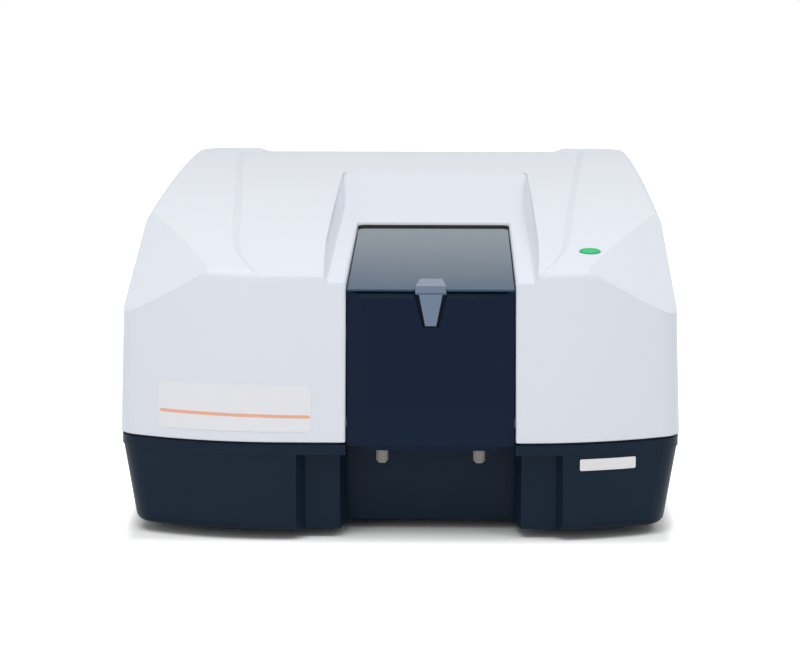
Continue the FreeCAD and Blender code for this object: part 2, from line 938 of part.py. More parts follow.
def make_fan_rotor():
    """Fan hub with twisted blades and a shaft."""
    y0 = fan_inner() + 3 + slide_gap
    length = fan_depth - 3 - 2 * slide_gap - 1
    axis = V(0, 1, 0)
    hub = cylinder(V(fan_x, y0, fan_z), axis, fan_hub / 2, length)
    shaft = cylinder(V(fan_x, y0 - 3, fan_z), axis, fan_shaft / 2, 4)
    pieces = [hub, shaft]
    tip = fan_bore / 2 - 1.5
    for step in range(fan_blades):
        blade = box(-1, 1, -length / 2 + 1, length / 2 - 1, fan_hub / 2 - 2, tip)
        blade.rotate(V(0, 0, 0), V(0, 0, 1), 38)
        blade.rotate(V(0, 0, 0), V(0, 1, 0), 360 * step / fan_blades)
        blade.translate(V(fan_x, y0 + length / 2, fan_z))
        pieces.append(blade)
    band = cylinder(V(fan_x, y0 + 0.5, fan_z), axis, tip, length - 1)
    return join(pieces).common(band.fuse(shaft).fuse(hub))


def make_fan_guard():
    """Finger guard of rings and spokes outside the rear panel."""
    y0 = rear_panel_face()
    axis = V(0, 1, 0)
    pieces = []
    for step in range(guard_rings):
        middle = fan_bore / 2 * (step + 1) / guard_rings
        ring = cylinder(V(fan_x, y0, fan_z), axis, middle, guard_thickness)
        hole = cylinder(V(fan_x, y0 - 1, fan_z), axis, middle - 1.6, guard_thickness + 2)
        pieces.append(ring.cut(hole))
    reach = fan_size / 2 * math.sqrt(2) - 6
    for turn in (45, 135):
        spoke = box(-reach, reach, 0, guard_thickness, -1, 1)
        spoke.rotate(V(0, 0, 0), axis, turn)
        spoke.translate(V(fan_x, y0, fan_z))
        pieces.append(spoke)
    for x, z in guard_screw_places():
        pieces.append(cylinder(V(x, y0, z), axis, screw_head_radius, guard_thickness))
    guard = join(pieces)
    for x, z in guard_screw_places():
        guard = guard.cut(cylinder(V(x, y0 - 1, z), axis, screw_radius, 5))
    return guard


def make_fan_screws():
    """Four screws through guard, rear panel and fan frame."""
    length = guard_thickness + rear_panel_thickness + fan_depth / 2
    seat_y = rear_panel_face() + guard_thickness
    return compound([screw(V(x, seat_y, z), V(0, 1, 0), length) for x, z in guard_screw_places()])


def make_power_inlet():
    """Mains inlet: open socket with three blades."""
    outer = rear_panel_face()
    deep = outer - inlet_depth
    body = socket_block(inlet_x, inlet_z, inlet_width, inlet_height, deep, outer)
    flange_width = inlet_width + 2 * inlet_flange
    flange_height = inlet_height + 2 * 2.0
    flange = socket_block(inlet_x, inlet_z, flange_width, flange_height, outer, outer + socket_flange)
    width = inlet_width - 2 * inlet_wall
    height = inlet_height - 2 * inlet_wall
    hollow = socket_block(inlet_x, inlet_z, width, height, deep + 3, outer + 5)
    inlet = body.fuse(flange).cut(hollow)
    pieces = [inlet]
    for x, z in ((-7.0, -1.5), (7.0, -1.5), (0.0, 3.0)):
        pieces.append(socket_block(inlet_x + x, inlet_z + z, 2.0, 4.0, deep + 2, outer - 3))
    return join(pieces)


def make_rocker_housing():
    """Frame round the power switch rocker, with its pivot bores."""
    outer = rear_panel_face()
    deep = outer - 16
    body = socket_block(rocker_x, inlet_z, rocker_width + 4, rocker_height + 4, deep, outer)
    flange = socket_block(
        rocker_x, inlet_z, rocker_width + 8, rocker_height + 8, outer, outer + socket_flange
    )
    well = socket_block(
        rocker_x, inlet_z, rocker_width + 2 * slide_gap, rocker_height + 2 * slide_gap + 1,
        outer - 9, outer + 5,
    )
    pivot = cylinder(
        V(rocker_x - rocker_width / 2 - 1.5, outer - 3, inlet_z), V(1, 0, 0),
        1.0 + bearing_gap, rocker_width + 3,
    )
    return body.fuse(flange).cut(well).cut(pivot)


def make_rocker():
    """Power switch rocker, bent about its pivot and resting in its off position."""
    pivot_y = rear_panel_face() - 3
    half = rocker_height / 2
    dip = (half - 0.5) * slope(rocker_tilt)
    front = rocker_depth
    outline = [
        (pivot_y - 2, inlet_z - half + 1),
        (pivot_y - 2, inlet_z + half - 1),
        (pivot_y + front, inlet_z + half - 1),
        (pivot_y + front - dip, inlet_z),
        (pivot_y + front, inlet_z - half + 1),
    ]
    x0 = rocker_x - rocker_width / 2
    rocker = prism_x(outline, x0, x0 + rocker_width)
    pin = cylinder(V(x0 - 1.2, pivot_y, inlet_z), V(1, 0, 0), 1.0, rocker_width + 2.4)
    rocker = rocker.fuse(pin)
    rocker.rotate(V(rocker_x, pivot_y, inlet_z), V(1, 0, 0), -rocker_tilt)
    return rocker


def make_usb_socket():
    """Square data socket with its tongue."""
    outer = rear_panel_face()
    deep = outer - usb_depth
    body = socket_block(usb_x, inlet_z, usb_width, usb_height, deep, outer + socket_flange)
    hollow = socket_block(usb_x, inlet_z, usb_width - 2.4, usb_height - 2.4, deep + 2, outer + 5)
    tongue = socket_block(usb_x, inlet_z, usb_width - 6.4, 3.0, deep + 1, outer - 1)
    return body.cut(hollow).fuse(tongue)


def tub_top(y):
    """Height of the tub's upper edge, under the seal."""
    return lid_under(y) - seat_gap - seal_height


def between_heights(lower, upper, x0, x1, y0, y1):
    """Block between two sloped planes given as functions of y."""
    points = [(y0, lower(y0)), (y1, lower(y1)), (y1, upper(y1)), (y0, upper(y0))]
    return prism_x(points, x0, x1)


def tub_block(grow, lower, upper):
    """Block over the tub's plan, grown outwards at the front and sides."""
    half = tub_half_width + grow
    return between_heights(lower, upper, lid_x - half, lid_x + half, tub_front_y - grow, tub_rear_y)


def make_tub():
    """Sample compartment: deep open box with flange, windows and front lip."""
    outer = tub_block(0, lambda y: bench_top, tub_top)
    flange = tub_block(tub_flange, lambda y: tub_top(y) - tub_wall, tub_top)
    lip_top = flange_bottom + flange_thickness + tub_wall
    apron = box(
        lid_x - tub_half_width, lid_x + tub_half_width, tub_front_y, tub_front_y + tub_wall,
        flange_bottom + flange_thickness, bench_top + 5,
    )
    lip_half = tub_half_width - 6
    lip = box(
        lid_x - lip_half, lid_x + lip_half, lid_front_y + front_panel_depth + slide_gap,
        bay_rear_y - 6, flange_bottom + flange_thickness, lip_top,
    )
    pieces = [outer, flange, apron, lip]
    tub = join(pieces)
    half = tub_half_width - tub_wall
    floor = bench_top + tub_wall
    hollow = box(
        lid_x - half, lid_x + half, tub_front_y + tub_wall, tub_rear_y - tub_wall, floor,
        crown_rear_height,
    )
    tub = tub.cut(hollow)
    for y in (sample_beam_y, reference_beam_y):
        port = cylinder(
            V(lid_x - body_width / 4, y, beam_height), V(1, 0, 0), window_radius - 3, half_width
        )
        tub = tub.cut(port)
    for side in (-1, 1):
        x = lid_x + side * thumbscrew_offset
        shank_hole = cylinder(
            V(x, thumbscrew_y, flange_bottom), V(0, 0, 1), thumbscrew_shank + bearing_gap, 20
        )
        tub = tub.cut(shank_hole)
    return tub


def make_windows():
    """Four silica windows over the ports of the tub."""
    windows = []
    for y in (sample_beam_y, reference_beam_y):
        for side in (-1, 1):
            seat = V(lid_x + side * tub_half_width, y, beam_height)
            windows.append(cylinder(seat, V(side, 0, 0), window_radius, window_thickness))
    return compound(windows)


def panel_half(z):
    """Half width of the front panel at height z."""
    return notch_half(z, notch_gap)


def make_front_panel():
    """Removable front panel: bevelled face, finger recess and lower flange."""
    front = lid_front_y
    rear = front + front_panel_depth
    bottom = front_panel_bottom
    mid = front + bevel_depth

    def panel_top(y):
        return lid_top(y) - lid_front_edge - seat_gap

    top = panel_top(front)
    block = notch_prism(notch_gap, bottom, top + 3, mid, rear)
    under_lid = between_heights(
        lambda y: 0, panel_top, lid_x - half_width, lid_x + half_width, front - 1, rear + 1
    )

    def ring(y, side, upper):
        high = top - upper
        points = [
            V(lid_x - panel_half(bottom) + side, y, bottom),
            V(lid_x + panel_half(bottom) - side, y, bottom),
            V(lid_x + panel_half(high) - side, y, high),
            V(lid_x - panel_half(high) + side, y, high),
        ]
        return Part.makePolygon(points + [points[0]])

    inner_ring = ring(front, edge_strip + bevel_side_width, bevel_top_height)
    outer_ring = ring(mid, edge_strip, 0)
    relief = Part.makeLoft([inner_ring, outer_ring], True, True)
    panel = block.common(under_lid).fuse(relief)
    wedge = prism_x(
        [(front, lower_band_top), (front + lower_band_setback, bottom - 1),
         (front - 5, bottom - 1), (front - 5, lower_band_top)],
        lid_x - body_width / 4, lid_x + body_width / 4,
    )
    panel = panel.cut(wedge)
    wall = front_panel_wall
    inside = notch_prism(notch_gap + wall, bottom + wall, top + 9, mid + wall, rear + 1)
    ceiling = between_heights(
        lambda y: 0, lambda y: panel_top(y) - wall,
        lid_x - half_width, lid_x + half_width, front - 1, rear + 2,
    )
    panel = panel.cut(inside.common(ceiling))
    recess = prism_y(
        [(lid_x - finger_recess_bottom_half, finger_recess_bottom),
         (lid_x + finger_recess_bottom_half, finger_recess_bottom),
         (lid_x + finger_recess_top_half, top + 5),
         (lid_x - finger_recess_top_half, top + 5)],
        front - 5, front + finger_recess_depth,
    )
    panel = panel.cut(recess)
    flange_half = tub_half_width - 6
    flange = box(
        lid_x - flange_half, lid_x + flange_half, mid + 1, bay_rear_y - 4,
        flange_bottom, flange_bottom + flange_thickness,
    )
    web = box(
        lid_x - flange_half, lid_x + flange_half, mid + 1, mid + 1 + flange_thickness,
        flange_bottom, bottom + wall,
    )
    panel = join([panel, flange, web])
    for side in (-1, 1):
        x = lid_x + side * thumbscrew_offset
        hole = cylinder(
            V(x, thumbscrew_y, flange_bottom - 5), V(0, 0, 1), thumbscrew_shank + bearing_gap, 10
        )
        panel = panel.cut(hole)
    return panel


def make_thumbscrew(side):
    """Knurled screw whose head hangs under the panel's flange."""
    x = lid_x + side * thumbscrew_offset
    head_top = flange_bottom - seat_gap
    head = cylinder(
        V(x, thumbscrew_y, thumbscrew_bottom), V(0, 0, 1), thumbscrew_radius,
        head_top - thumbscrew_bottom,
    )
    rim_edges = [e for e in head.Edges if e.Closed]
    head = head.makeChamfer(0.6, rim_edges)
    grooves = []
    for step in range(knurl_grooves):
        angle = 2 * math.pi * step / knurl_grooves
        place = V(
            x + (thumbscrew_radius + 0.15) * math.cos(angle),
            thumbscrew_y + (thumbscrew_radius + 0.15) * math.sin(angle),
            thumbscrew_bottom + 1.5,
        )
        grooves.append(cylinder(place, V(0, 0, 1), 0.5, head_top - thumbscrew_bottom - 3))
    head = head.cut(compound(grooves))
    shank_top = flange_bottom + flange_thickness + tub_wall + 1.5
    shank = cylinder(
        V(x, thumbscrew_y, head_top), V(0, 0, 1), thumbscrew_shank, shank_top - head_top
    )
    return compound([head, shank])


def make_seal():
    """Foam seal along the tub's upper edge, and the strip behind the lid."""
    ring = tub_block(1.5, tub_top, lambda y: tub_top(y) + seal_height)
    half = tub_half_width - tub_wall
    hole = box(
        lid_x - half, lid_x + half, tub_front_y + tub_wall, tub_rear_y - tub_wall,
        0, crown_rear_height,
    )
    return compound([ring.cut(hole), make_rear_strip()])


def make_lid():
    """Lid: sloped plate with a skirt along its front and sides."""
    front = lid_front_y
    rear = lid_rear_y
    skirt_front = front + front_panel_depth + 1.0
    outline = [
        (front, lid_top(front)),
        (rear, lid_top(rear)),
        (rear, lid_top(rear) - lid_skirt),
        (skirt_front, lid_top(skirt_front) - lid_skirt),
        (skirt_front, lid_top(skirt_front) - lid_front_edge),
        (front, lid_top(front) - lid_front_edge),
    ]
    low = lid_top(front) - lid_skirt - 10
    high = lid_top(rear) + 10
    taper = notch_prism(notch_gap, low, high, front - 1, rear + 1)
    solid = prism_x(outline, lid_x - body_width / 4, lid_x + body_width / 4).common(taper)
    corners = []
    for edge in solid.Edges:
        ends = [v.Point for v in edge.Vertexes]
        upright = abs(ends[0].z - ends[1].z) > lid_skirt * 0.8
        if upright and min(p.y for p in ends) > rear - 1:
            corners.append(edge)
    solid = solid.makeFillet(lid_corner_radius, corners)
    inner_front = skirt_front + 2.5
    cavity_outline = [
        (inner_front, lid_under(inner_front)),
        (rear + 1, lid_under(rear + 1)),
        (rear + 1, 0),
        (inner_front, 0),
    ]
    inner_taper = notch_prism(notch_gap + lid_wall, low, high, front - 1, rear + 2)
    cavity = prism_x(cavity_outline, lid_x - body_width / 4, lid_x + body_width / 4)
    solid = solid.cut(cavity.common(inner_taper))
    mouth = tab_front_half + slide_gap
    return solid.cut(
        box(lid_x - mouth, lid_x + mouth, front - 5, front + neck_thickness, 0, crown_rear_height)
    )


def make_liner():
    """Black liner plate under the lid."""
    half = tub_half_width - tub_wall - 3
    return between_heights(
        lambda y: lid_under(y) - liner_height, lid_under,
        lid_x - half, lid_x + half, tub_front_y + 12, tub_rear_y - 14,
    )


def make_handle():
    """Lid handle: tab over the lid's front edge and tapered tongue."""
    front = front_y
    rear = lid_front_y + tab_length
    neck_rear = lid_front_y + neck_thickness - slide_gap
    tab = between_heights(
        lid_top, lambda y: lid_top(y) + tab_rise, lid_x - 20, lid_x + 20, front, rear
    )
    plan = prism_z(
        [(lid_x - tab_front_half, front), (lid_x + tab_front_half, front),
         (lid_x + tab_rear_half, rear), (lid_x - tab_rear_half, rear)], 0, crown_rear_height,
    )
    tab = tab.common(plan)
    neck_bottom = lid_front_height - lid_front_edge - 2.5
    neck = box(
        lid_x - tab_front_half, lid_x + tab_front_half, front, neck_rear,
        neck_bottom, lid_front_height + 1,
    )
    tongue = prism_y(
        [(lid_x - tongue_bottom_half, tongue_bottom), (lid_x + tongue_bottom_half, tongue_bottom),
         (lid_x + tongue_top_half, neck_bottom + 0.5), (lid_x - tongue_top_half, neck_bottom + 0.5)],
        front, front + tongue_thickness,
    )
    groove = box(
        lid_x - 20, lid_x + 20, front - 1, front + 0.9, neck_bottom + 0.2, neck_bottom + 1.2
    )
    return join([tab, neck, tongue]).cut(groove)


def hinge_z():
    """Height of the lid's hinge pin."""
    return lid_under(hinge_y) - hinge_drop


def knuckle(x0, width):
    """Barrel round the hinge pin."""
    return cylinder(V(x0, hinge_y, hinge_z()), V(1, 0, 0), hinge_knuckle, width)


def pin_bore(gap):
    """Space for the hinge pin."""
    start = V(lid_x - hinge_pin_half - 5, hinge_y, hinge_z())
    return cylinder(start, V(1, 0, 0), hinge_pin_radius + gap, 2 * hinge_pin_half + 10)


def make_hinge_arms():
    """Two arms under the lid with barrels round the pin."""
    arms = []
    for side in (-1, 1):
        x0 = lid_x + side * arm_x - arm_width / 2
        y0 = hinge_y - hinge_knuckle
        y1 = hinge_y + hinge_knuckle
        pad = between_heights(lambda y: hinge_z(), lid_under, x0, x0 + arm_width, y0, y1)
        arms.append(join([knuckle(x0, arm_width), pad]).cut(pin_bore(bearing_gap)))
    return compound(arms)


def make_hinge_brackets():
    """Two brackets on the tub's rear wall that hold the pin."""
    brackets = []
    for side in (-1, 1):
        inner = arm_x + arm_width / 2 + slide_gap
        x0 = lid_x + side * (inner + bracket_width / 2) - bracket_width / 2
        plate = box(
            x0, x0 + bracket_width, tub_rear_y, tub_rear_y + bracket_plate, hinge_z() - 30,
            hinge_z() - 1,
        )
        neck = box(
            x0, x0 + bracket_width, tub_rear_y, hinge_y, hinge_z() - hinge_knuckle, hinge_z() - 1
        )
        brackets.append(join([knuckle(x0, bracket_width), plate, neck]).cut(pin_bore(0)))
    return compound(brackets)


def make_hinge_pin():
    """Steel pin of the lid hinge."""
    start = V(lid_x - hinge_pin_half, hinge_y, hinge_z())
    return cylinder(start, V(1, 0, 0), hinge_pin_radius, 2 * hinge_pin_half)


def tub_floor():
    """Height of the compartment's floor."""
    return bench_top + tub_wall


def make_holder_base():
    """Plate on the compartment floor that carries both holders."""
    floor = tub_floor()
    plate = box(
        lid_x - holder_plate_half_x, lid_x + holder_plate_half_x,
        sample_beam_y - holder_size / 2 - 8, reference_beam_y + holder_size / 2 + 8,
        floor, floor + holder_plate_thickness,
    )
    edges = [e for e in plate.Edges if abs(e.Vertexes[0].Point.z - e.Vertexes[-1].Point.z) > 1]
    return plate.makeFillet(4.0, edges)


def make_cell_holder(y):
    """Square holder with a well for one cell and a bore for the beam."""
    base = tub_floor() + holder_plate_thickness
    half = holder_size / 2
    block = box(lid_x - half, lid_x + half, y - half, y + half, base, holder_top)
    edges = [e for e in block.Edges if abs(e.Vertexes[0].Point.z - e.Vertexes[-1].Point.z) > 1]
    block = block.makeFillet(2.0, edges)
    well = cell_size / 2 + slide_gap
    block = block.cut(
        box(lid_x - well, lid_x + well, y - well, y + well, cell_floor - seat_gap, holder_top + 1)
    )
    beam = cylinder(V(lid_x - holder_size, y, beam_height), V(1, 0, 0), beam_hole_radius, 60)
    return block.cut(beam)


def make_cell(y):
    """Silica cell with an open top."""
    half = cell_size / 2
    inner = half - cell_wall
    top = cell_floor + cell_height
    cell = box(lid_x - half, lid_x + half, y - half, y + half, cell_floor, top)
    hollow = box(lid_x - inner, lid_x + inner, y - inner, y + inner, cell_floor + cell_wall, top)
    return cell.cut(hollow)


def make_cell_cap(y):
    """Stopper in the top of one cell."""
    half = cell_size / 2
    plug = half - cell_wall
    top = cell_floor + cell_height
    cap = box(lid_x - half, lid_x + half, y - half, y + half, top, top + cell_cap_height)
    return cap.fuse(box(lid_x - plug, lid_x + plug, y - plug, y + plug, top - 4, top))


def make_button():
    """Round start button with its stem."""
    point, outward = button_frame()
    cap = cylinder(
        point - outward * (button_cap - button_proud), outward, button_radius, button_cap
    )
    stem_start = button_cap - button_proud + button_stem
    stem = cylinder(point - outward * stem_start, outward, button_stem_radius, button_stem + 1)
    return cap.fuse(stem)


def make_button_switch():
    """Collar under the cover with the switch that the button presses."""
    point, outward = button_frame()
    bottom = button_cap - button_proud + button_stem - switch_entry
    inner = button_radius + slide_gap
    collar_start = point - outward * bottom
    collar = cylinder(
        collar_start, outward, inner + collar_wall, bottom - cover_wall - bearing_gap
    )
    bore = cylinder(collar_start, outward, inner, bottom)
    block = Part.makeBox(switch_size, switch_size, switch_depth)
    block.translate(V(-switch_size / 2, -switch_size / 2, -switch_depth))
    turn = FreeCAD.Rotation(V(0, 0, 1), outward)
    block.Placement = FreeCAD.Placement(collar_start, turn).multiply(block.Placement)
    base = cylinder(collar_start - outward * 1, outward, inner + collar_wall, 1)
    depth = switch_entry + button_travel + seat_gap
    well = cylinder(
        collar_start - outward * depth, outward, button_stem_radius + slide_gap, depth + 1
    )
    return join([collar.cut(bore), block, base]).cut(well)


def make_bench():
    """Cast bench plate with ribs under it."""
    plate = box(
        -bench_half_width, bench_half_width, bench_front_y, bench_rear_y,
        bench_top - bench_thickness, bench_top,
    )
    uprights = [e for e in plate.Edges if abs(e.Vertexes[0].Point.z - e.Vertexes[-1].Point.z) > 1]
    plate = plate.makeFillet(20.0, uprights)
    z1 = bench_top - bench_thickness
    z0 = z1 - bench_rib_height
    half_rib = bench_rib_width / 2
    pieces = [plate]
    for x in (-bench_rib_x, 0, bench_rib_x):
        pieces.append(box(x - half_rib, x + half_rib, bench_rib_front_y, bench_rib_rear_y, z0, z1))
    for step in range(4):
        y = bench_rib_front_y + (bench_rib_rear_y - bench_rib_front_y) * step / 3
        pieces.append(box(-mount_x, mount_x, y - half_rib, y + half_rib, z0, z1))
    return join(pieces)


def pan_floor():
    """Height of the pan's floor inside."""
    return foot_height + base_wall


def make_bench_mounts():
    """Damping posts between pan and bench."""
    floor = pan_floor()
    top = bench_top - bench_thickness
    return compound(
        [cylinder(V(x, y, floor), V(0, 0, 1), mount_radius, top - floor) for x, y in mount_spots]
    )


def make_bench_screws():
    """Screws on the bench over its mounts."""
    heads = []
    for x, y in mount_spots:
        head = cylinder(V(x, y, bench_top), V(0, 0, 1), screw_head_radius, 4)
        socket = cylinder(V(x, y, bench_top + 2), V(0, 0, 1), screw_head_radius / 2, 3)
        heads.append(head.cut(socket))
    return compound(heads)


def hollow_box(x0, x1, y0, y1, z0, z1, wall):
    """Closed box with an even wall."""
    outer = box(x0, x1, y0, y1, z0, z1)
    inner = box(x0 + wall, x1 - wall, y0 + wall, y1 - wall, z0 + wall, z1 - wall)
    return outer.cut(inner)


def make_lamp_housing():
    """Lamp housing with a port for each lamp and vents in its roof."""
    top = bench_top + source_height
    housing = hollow_box(source_x0, source_x1, source_y0, source_y1, bench_top, top, housing_wall)
    for y in (deuterium_y, halogen_y):
        port = cylinder(V(source_x1 - 10, y, beam_height), V(1, 0, 0), 9, 20)
        housing = housing.cut(port)
    for step in range(6):
        x = source_x0 + 14 + step * 10
        housing = housing.cut(box(x, x + 4, source_y0 + 12, source_y1 - 12, top - 5, top + 1))
    return housing


def make_deuterium_lamp():
    """Deuterium lamp: glass bulb on a round base."""
    floor = bench_top + housing_wall
    bulb_bottom = floor + lamp_base_height
    base = cylinder(V(lamp_x, deuterium_y, floor), V(0, 0, 1), bulb_radius + 2, lamp_base_height)
    bulb = cylinder(V(lamp_x, deuterium_y, bulb_bottom), V(0, 0, 1), bulb_radius, bulb_length)
    dome = Part.makeSphere(bulb_radius, V(lamp_x, deuterium_y, bulb_bottom + bulb_length))
    return join([base, bulb, dome])


def make_halogen_lamp():
    """Halogen lamp: small capsule in a ceramic socket."""
    floor = bench_top + housing_wall
    socket = cylinder(V(lamp_x, halogen_y, floor), V(0, 0, 1), 9, 22)
    capsule = cylinder(V(lamp_x, halogen_y, floor + 22), V(0, 0, 1), 5, 16)
    tip = Part.makeCone(5, 1.5, 6, V(lamp_x, halogen_y, floor + 38))
    return join([socket, capsule, tip])


def source_mirror_y():
    """The source mirror stands between the beams of both lamps."""
    return (deuterium_y + halogen_y) / 2


def make_source_mirror():
    """Round mirror on a turning post that selects the lamp."""
    y = source_mirror_y()
    plinth = cylinder(V(source_mirror_x, y, bench_top + 6 + seat_gap), V(0, 0, 1), 9, 5)
    post = cylinder(V(source_mirror_x, y, bench_top + 3), V(0, 0, 1), 3, beam_height - bench_top - 7)
    rear = V(-1, -1, 0)
    rear.normalize()
    face = V(source_mirror_x, y, beam_height) - rear * 3
    disc = cylinder(face, rear, source_mirror_radius, 6)
    return plinth.fuse(post).fuse(disc)


def make_source_mirror_base():
    """Bearing block under the source mirror."""
    y = source_mirror_y()
    block = box(
        source_mirror_x - 12, source_mirror_x + 12, y - 12, y + 12, bench_top, bench_top + 6
    )
    bore = cylinder(V(source_mirror_x, y, bench_top + 2), V(0, 0, 1), 3 + bearing_gap, 10)
    return block.cut(bore)


def filter_axis_x():
    """The wheel turns beside the beam, so that its holes pass through it."""
    return entrance_x + filter_circle


def make_filter_wheel():
    """Filter wheel: disc with a ring of round openings and a shaft."""
    x = filter_axis_x()
    start = V(x, filter_y - filter_thickness, beam_height)
    disc = cylinder(start, V(0, 1, 0), filter_radius, filter_thickness)
    for step in range(filter_count):
        angle = 2 * math.pi * step / filter_count
        place = V(
            x + filter_circle * math.cos(angle), filter_y - filter_thickness - 1,
            beam_height + filter_circle * math.sin(angle),
        )
        disc = disc.cut(cylinder(place, V(0, 1, 0), filter_hole, filter_thickness + 2))
    hub = cylinder(V(x, filter_y - 1, beam_height), V(0, 1, 0), 6, 4)
    shaft = cylinder(V(x, filter_y + 2, beam_height), V(0, 1, 0), 2.5, 10)
    return join([disc, hub, shaft])


def motor_on_foot(face, axis, foot_centre):
    """Small stepping motor with a bore for its shaft, on a foot to the bench."""
    body = cylinder(face, axis, motor_radius, motor_length)
    x, y = foot_centre
    foot = box(x - 7, x + 7, y - 7, y + 7, bench_top, face.z - motor_radius + 4)
    bore = cylinder(face, axis, 2.5 + bearing_gap, 9)
    return join([body, foot]).cut(bore)


def make_filter_motor():
    """Motor of the filter wheel."""
    face = V(filter_axis_x(), filter_y + 3 + seat_gap, beam_height)
    return motor_on_foot(face, V(0, 1, 0), (face.x, face.y + motor_length / 2))


def make_monochromator():
    """Open casting with ports for the slits."""
    top = bench_top + mono_height
    casting = box(mono_x0, mono_x1, mono_y0, mono_y1, bench_top, top)
    wall = mono_wall
    casting = casting.cut(
        box(mono_x0 + wall, mono_x1 - wall, mono_y0 + wall, mono_y1 - wall, bench_top + wall, top)
    )
    entrance = cylinder(V(entrance_x, mono_y1 - 15, beam_height), V(0, 1, 0), 5, 30)
    outlet = cylinder(V(exit_x, mono_y0 - 15, beam_height), V(0, 1, 0), 5, 30)
    bore = cylinder(V(grating_x, grating_y, bench_top + 1), V(0, 0, 1), 3 + bearing_gap, 20)
    return casting.cut(compound([entrance, outlet, bore]))


def make_monochromator_cover():
    """Flat cover on the monochromator casting."""
    top = bench_top + mono_height
    return box(mono_x0, mono_x1, mono_y0, mono_y1, top, top + mono_cover_thickness)


def slit_plate(x, y0, y1):
    """Plate with a narrow upright slit."""
    plate = box(x - 11, x + 11, y0, y1, beam_height - 14, beam_height + 14)
    return plate.cut(box(x - 0.5, x + 0.5, y0 - 1, y1 + 1, beam_height - 5, beam_height + 5))


def make_entrance_slit():
    """Slit plate on the rear wall of the monochromator."""
    return slit_plate(entrance_x, mono_y1, mono_y1 + slit_thickness)


def make_exit_slit():
    """Slit plate on the front wall of the monochromator."""
    return slit_plate(exit_x, mono_y0 - slit_thickness, mono_y0)


def make_collimating_mirrors():
    """Two round mirrors on blocks inside the monochromator."""
    floor = bench_top + mono_wall
    mirrors = []
    for x in (entrance_x, exit_x - 32):
        y = mono_y0 + mono_wall
        block = box(x - 10, x + 10, y, y + 10, floor, beam_height)
        disc = cylinder(V(x, y + 10, beam_height), V(0, 1, 0), 14, 6)
        mirrors.append(block.fuse(disc))
    return compound(mirrors)


def make_turret():
    """Round table that turns the grating."""
    floor = bench_top + mono_wall
    table = cylinder(
        V(grating_x, grating_y, floor + seat_gap), V(0, 0, 1), turret_radius, turret_thickness
    )
    shaft = cylinder(V(grating_x, grating_y, floor - 4), V(0, 0, 1), 3, 6)
    return table.fuse(shaft)


def make_grating():
    """Square grating on the turning table."""
    floor = bench_top + mono_wall + seat_gap + turret_thickness
    half = grating_size / 2
    return box(
        grating_x - half, grating_x + half, grating_y - 4, grating_y + 4, floor, floor + grating_size
    )


def sector_axis():
    """Direction of the sector mirror's shaft, away from its face."""
    axis = V(-1, -1, 0)
    axis.normalize()
    return axis


def sector_centre():
    """Centre of the sector mirror's face."""
    return V(exit_x, reference_beam_y, beam_height + sector_offset)


def make_sector_mirror():
    """Half-open disc that sends the beam to one path and then the other."""
    centre = sector_centre()
    axis = sector_axis()
    disc = cylinder(centre, axis, sector_radius, sector_thickness)
    half = Part.makeBox(2 * sector_radius, sector_radius * 2, sector_radius)
    half.translate(V(-sector_radius, -sector_radius, 0))
    half.translate(centre + V(0, 0, 9))
    disc = disc.cut(half)
    hub = cylinder(centre, axis, 9, 4)
    shaft = cylinder(centre + axis * 3, axis, 2.5, 10)
    return join([disc, hub, shaft])


def make_sector_motor():
    """Motor of the sector mirror."""
    axis = sector_axis()
    face = sector_centre() + axis * (4 + seat_gap)
    rear = face + axis * (motor_length - 8)
    return motor_on_foot(face, axis, (rear.x, rear.y))


def fold_mirror(x, y, direction):
    """Square mirror at 45 degrees on a foot."""
    half = fold_mirror_size / 2
    plate = box(-half, half, 0, fold_mirror_thickness, bench_top, beam_height + half)
    turn = math.degrees(math.atan2(direction[1], direction[0])) - 90
    plate.rotate(V(0, 0, 0), V(0, 0, 1), turn)
    plate.translate(V(x, y, 0))
    return plate


def make_fold_mirror():
    """Mirror that turns the sample beam into the compartment."""
    return fold_mirror(exit_x, sample_beam_y, (-1, -1))


def make_detector_housing():
    """Detector box with a port for each beam."""
    top = bench_top + detector_height
    housing = hollow_box(
        detector_x0, detector_x1, detector_y0, detector_y1, bench_top, top, housing_wall
    )
    for y in (sample_beam_y, reference_beam_y):
        housing = housing.cut(cylinder(V(detector_x0 - 5, y, beam_height), V(1, 0, 0), 9, 20))
    return housing


def make_detector_mirrors():
    """Two mirrors that turn both beams to the photomultiplier."""
    floor = bench_top + housing_wall
    clip = box(-body_width, body_width, -body_depth, body_depth, floor, crown_rear_height)
    front = fold_mirror(detector_mirror_x, sample_beam_y, (1, -1)).common(clip)
    rear = fold_mirror(detector_mirror_x, reference_beam_y - 6, (1, 1)).common(clip)
    return compound([front, rear])


def make_photomultiplier():
    """Photomultiplier tube in its socket."""
    floor = bench_top + housing_wall
    y = (sample_beam_y + reference_beam_y) / 2
    socket = cylinder(V(detector_mirror_x, y, floor), V(0, 0, 1), tube_radius + 3, 10)
    tube = cylinder(V(detector_mirror_x, y, floor + 10), V(0, 0, 1), tube_radius, tube_height - 10)
    return socket.fuse(tube)


def make_power_supply():
    """Power supply case with vents in its top."""
    floor = pan_floor()
    case = hollow_box(
        supply_x0, supply_x0 + supply_width, supply_y0, supply_y0 + supply_length,
        floor, floor + supply_height, 1.5,
    )
    for step in range(9):
        x = supply_x0 + 14 + step * 13
        case = case.cut(
            box(x, x + 5, supply_y0 + 20, supply_y0 + supply_length - 20,
                floor + supply_height - 5, floor + supply_height + 1)
        )
    return case


def board_corner_places():
    """X and Y of the board's standoffs."""
    inset = 8
    xs = (board_x0 + inset, board_x0 + board_width - inset)
    ys = (board_y0 + inset, board_y0 + board_length / 2, board_y0 + board_length - inset)
    return [(x, y) for x in xs for y in ys]


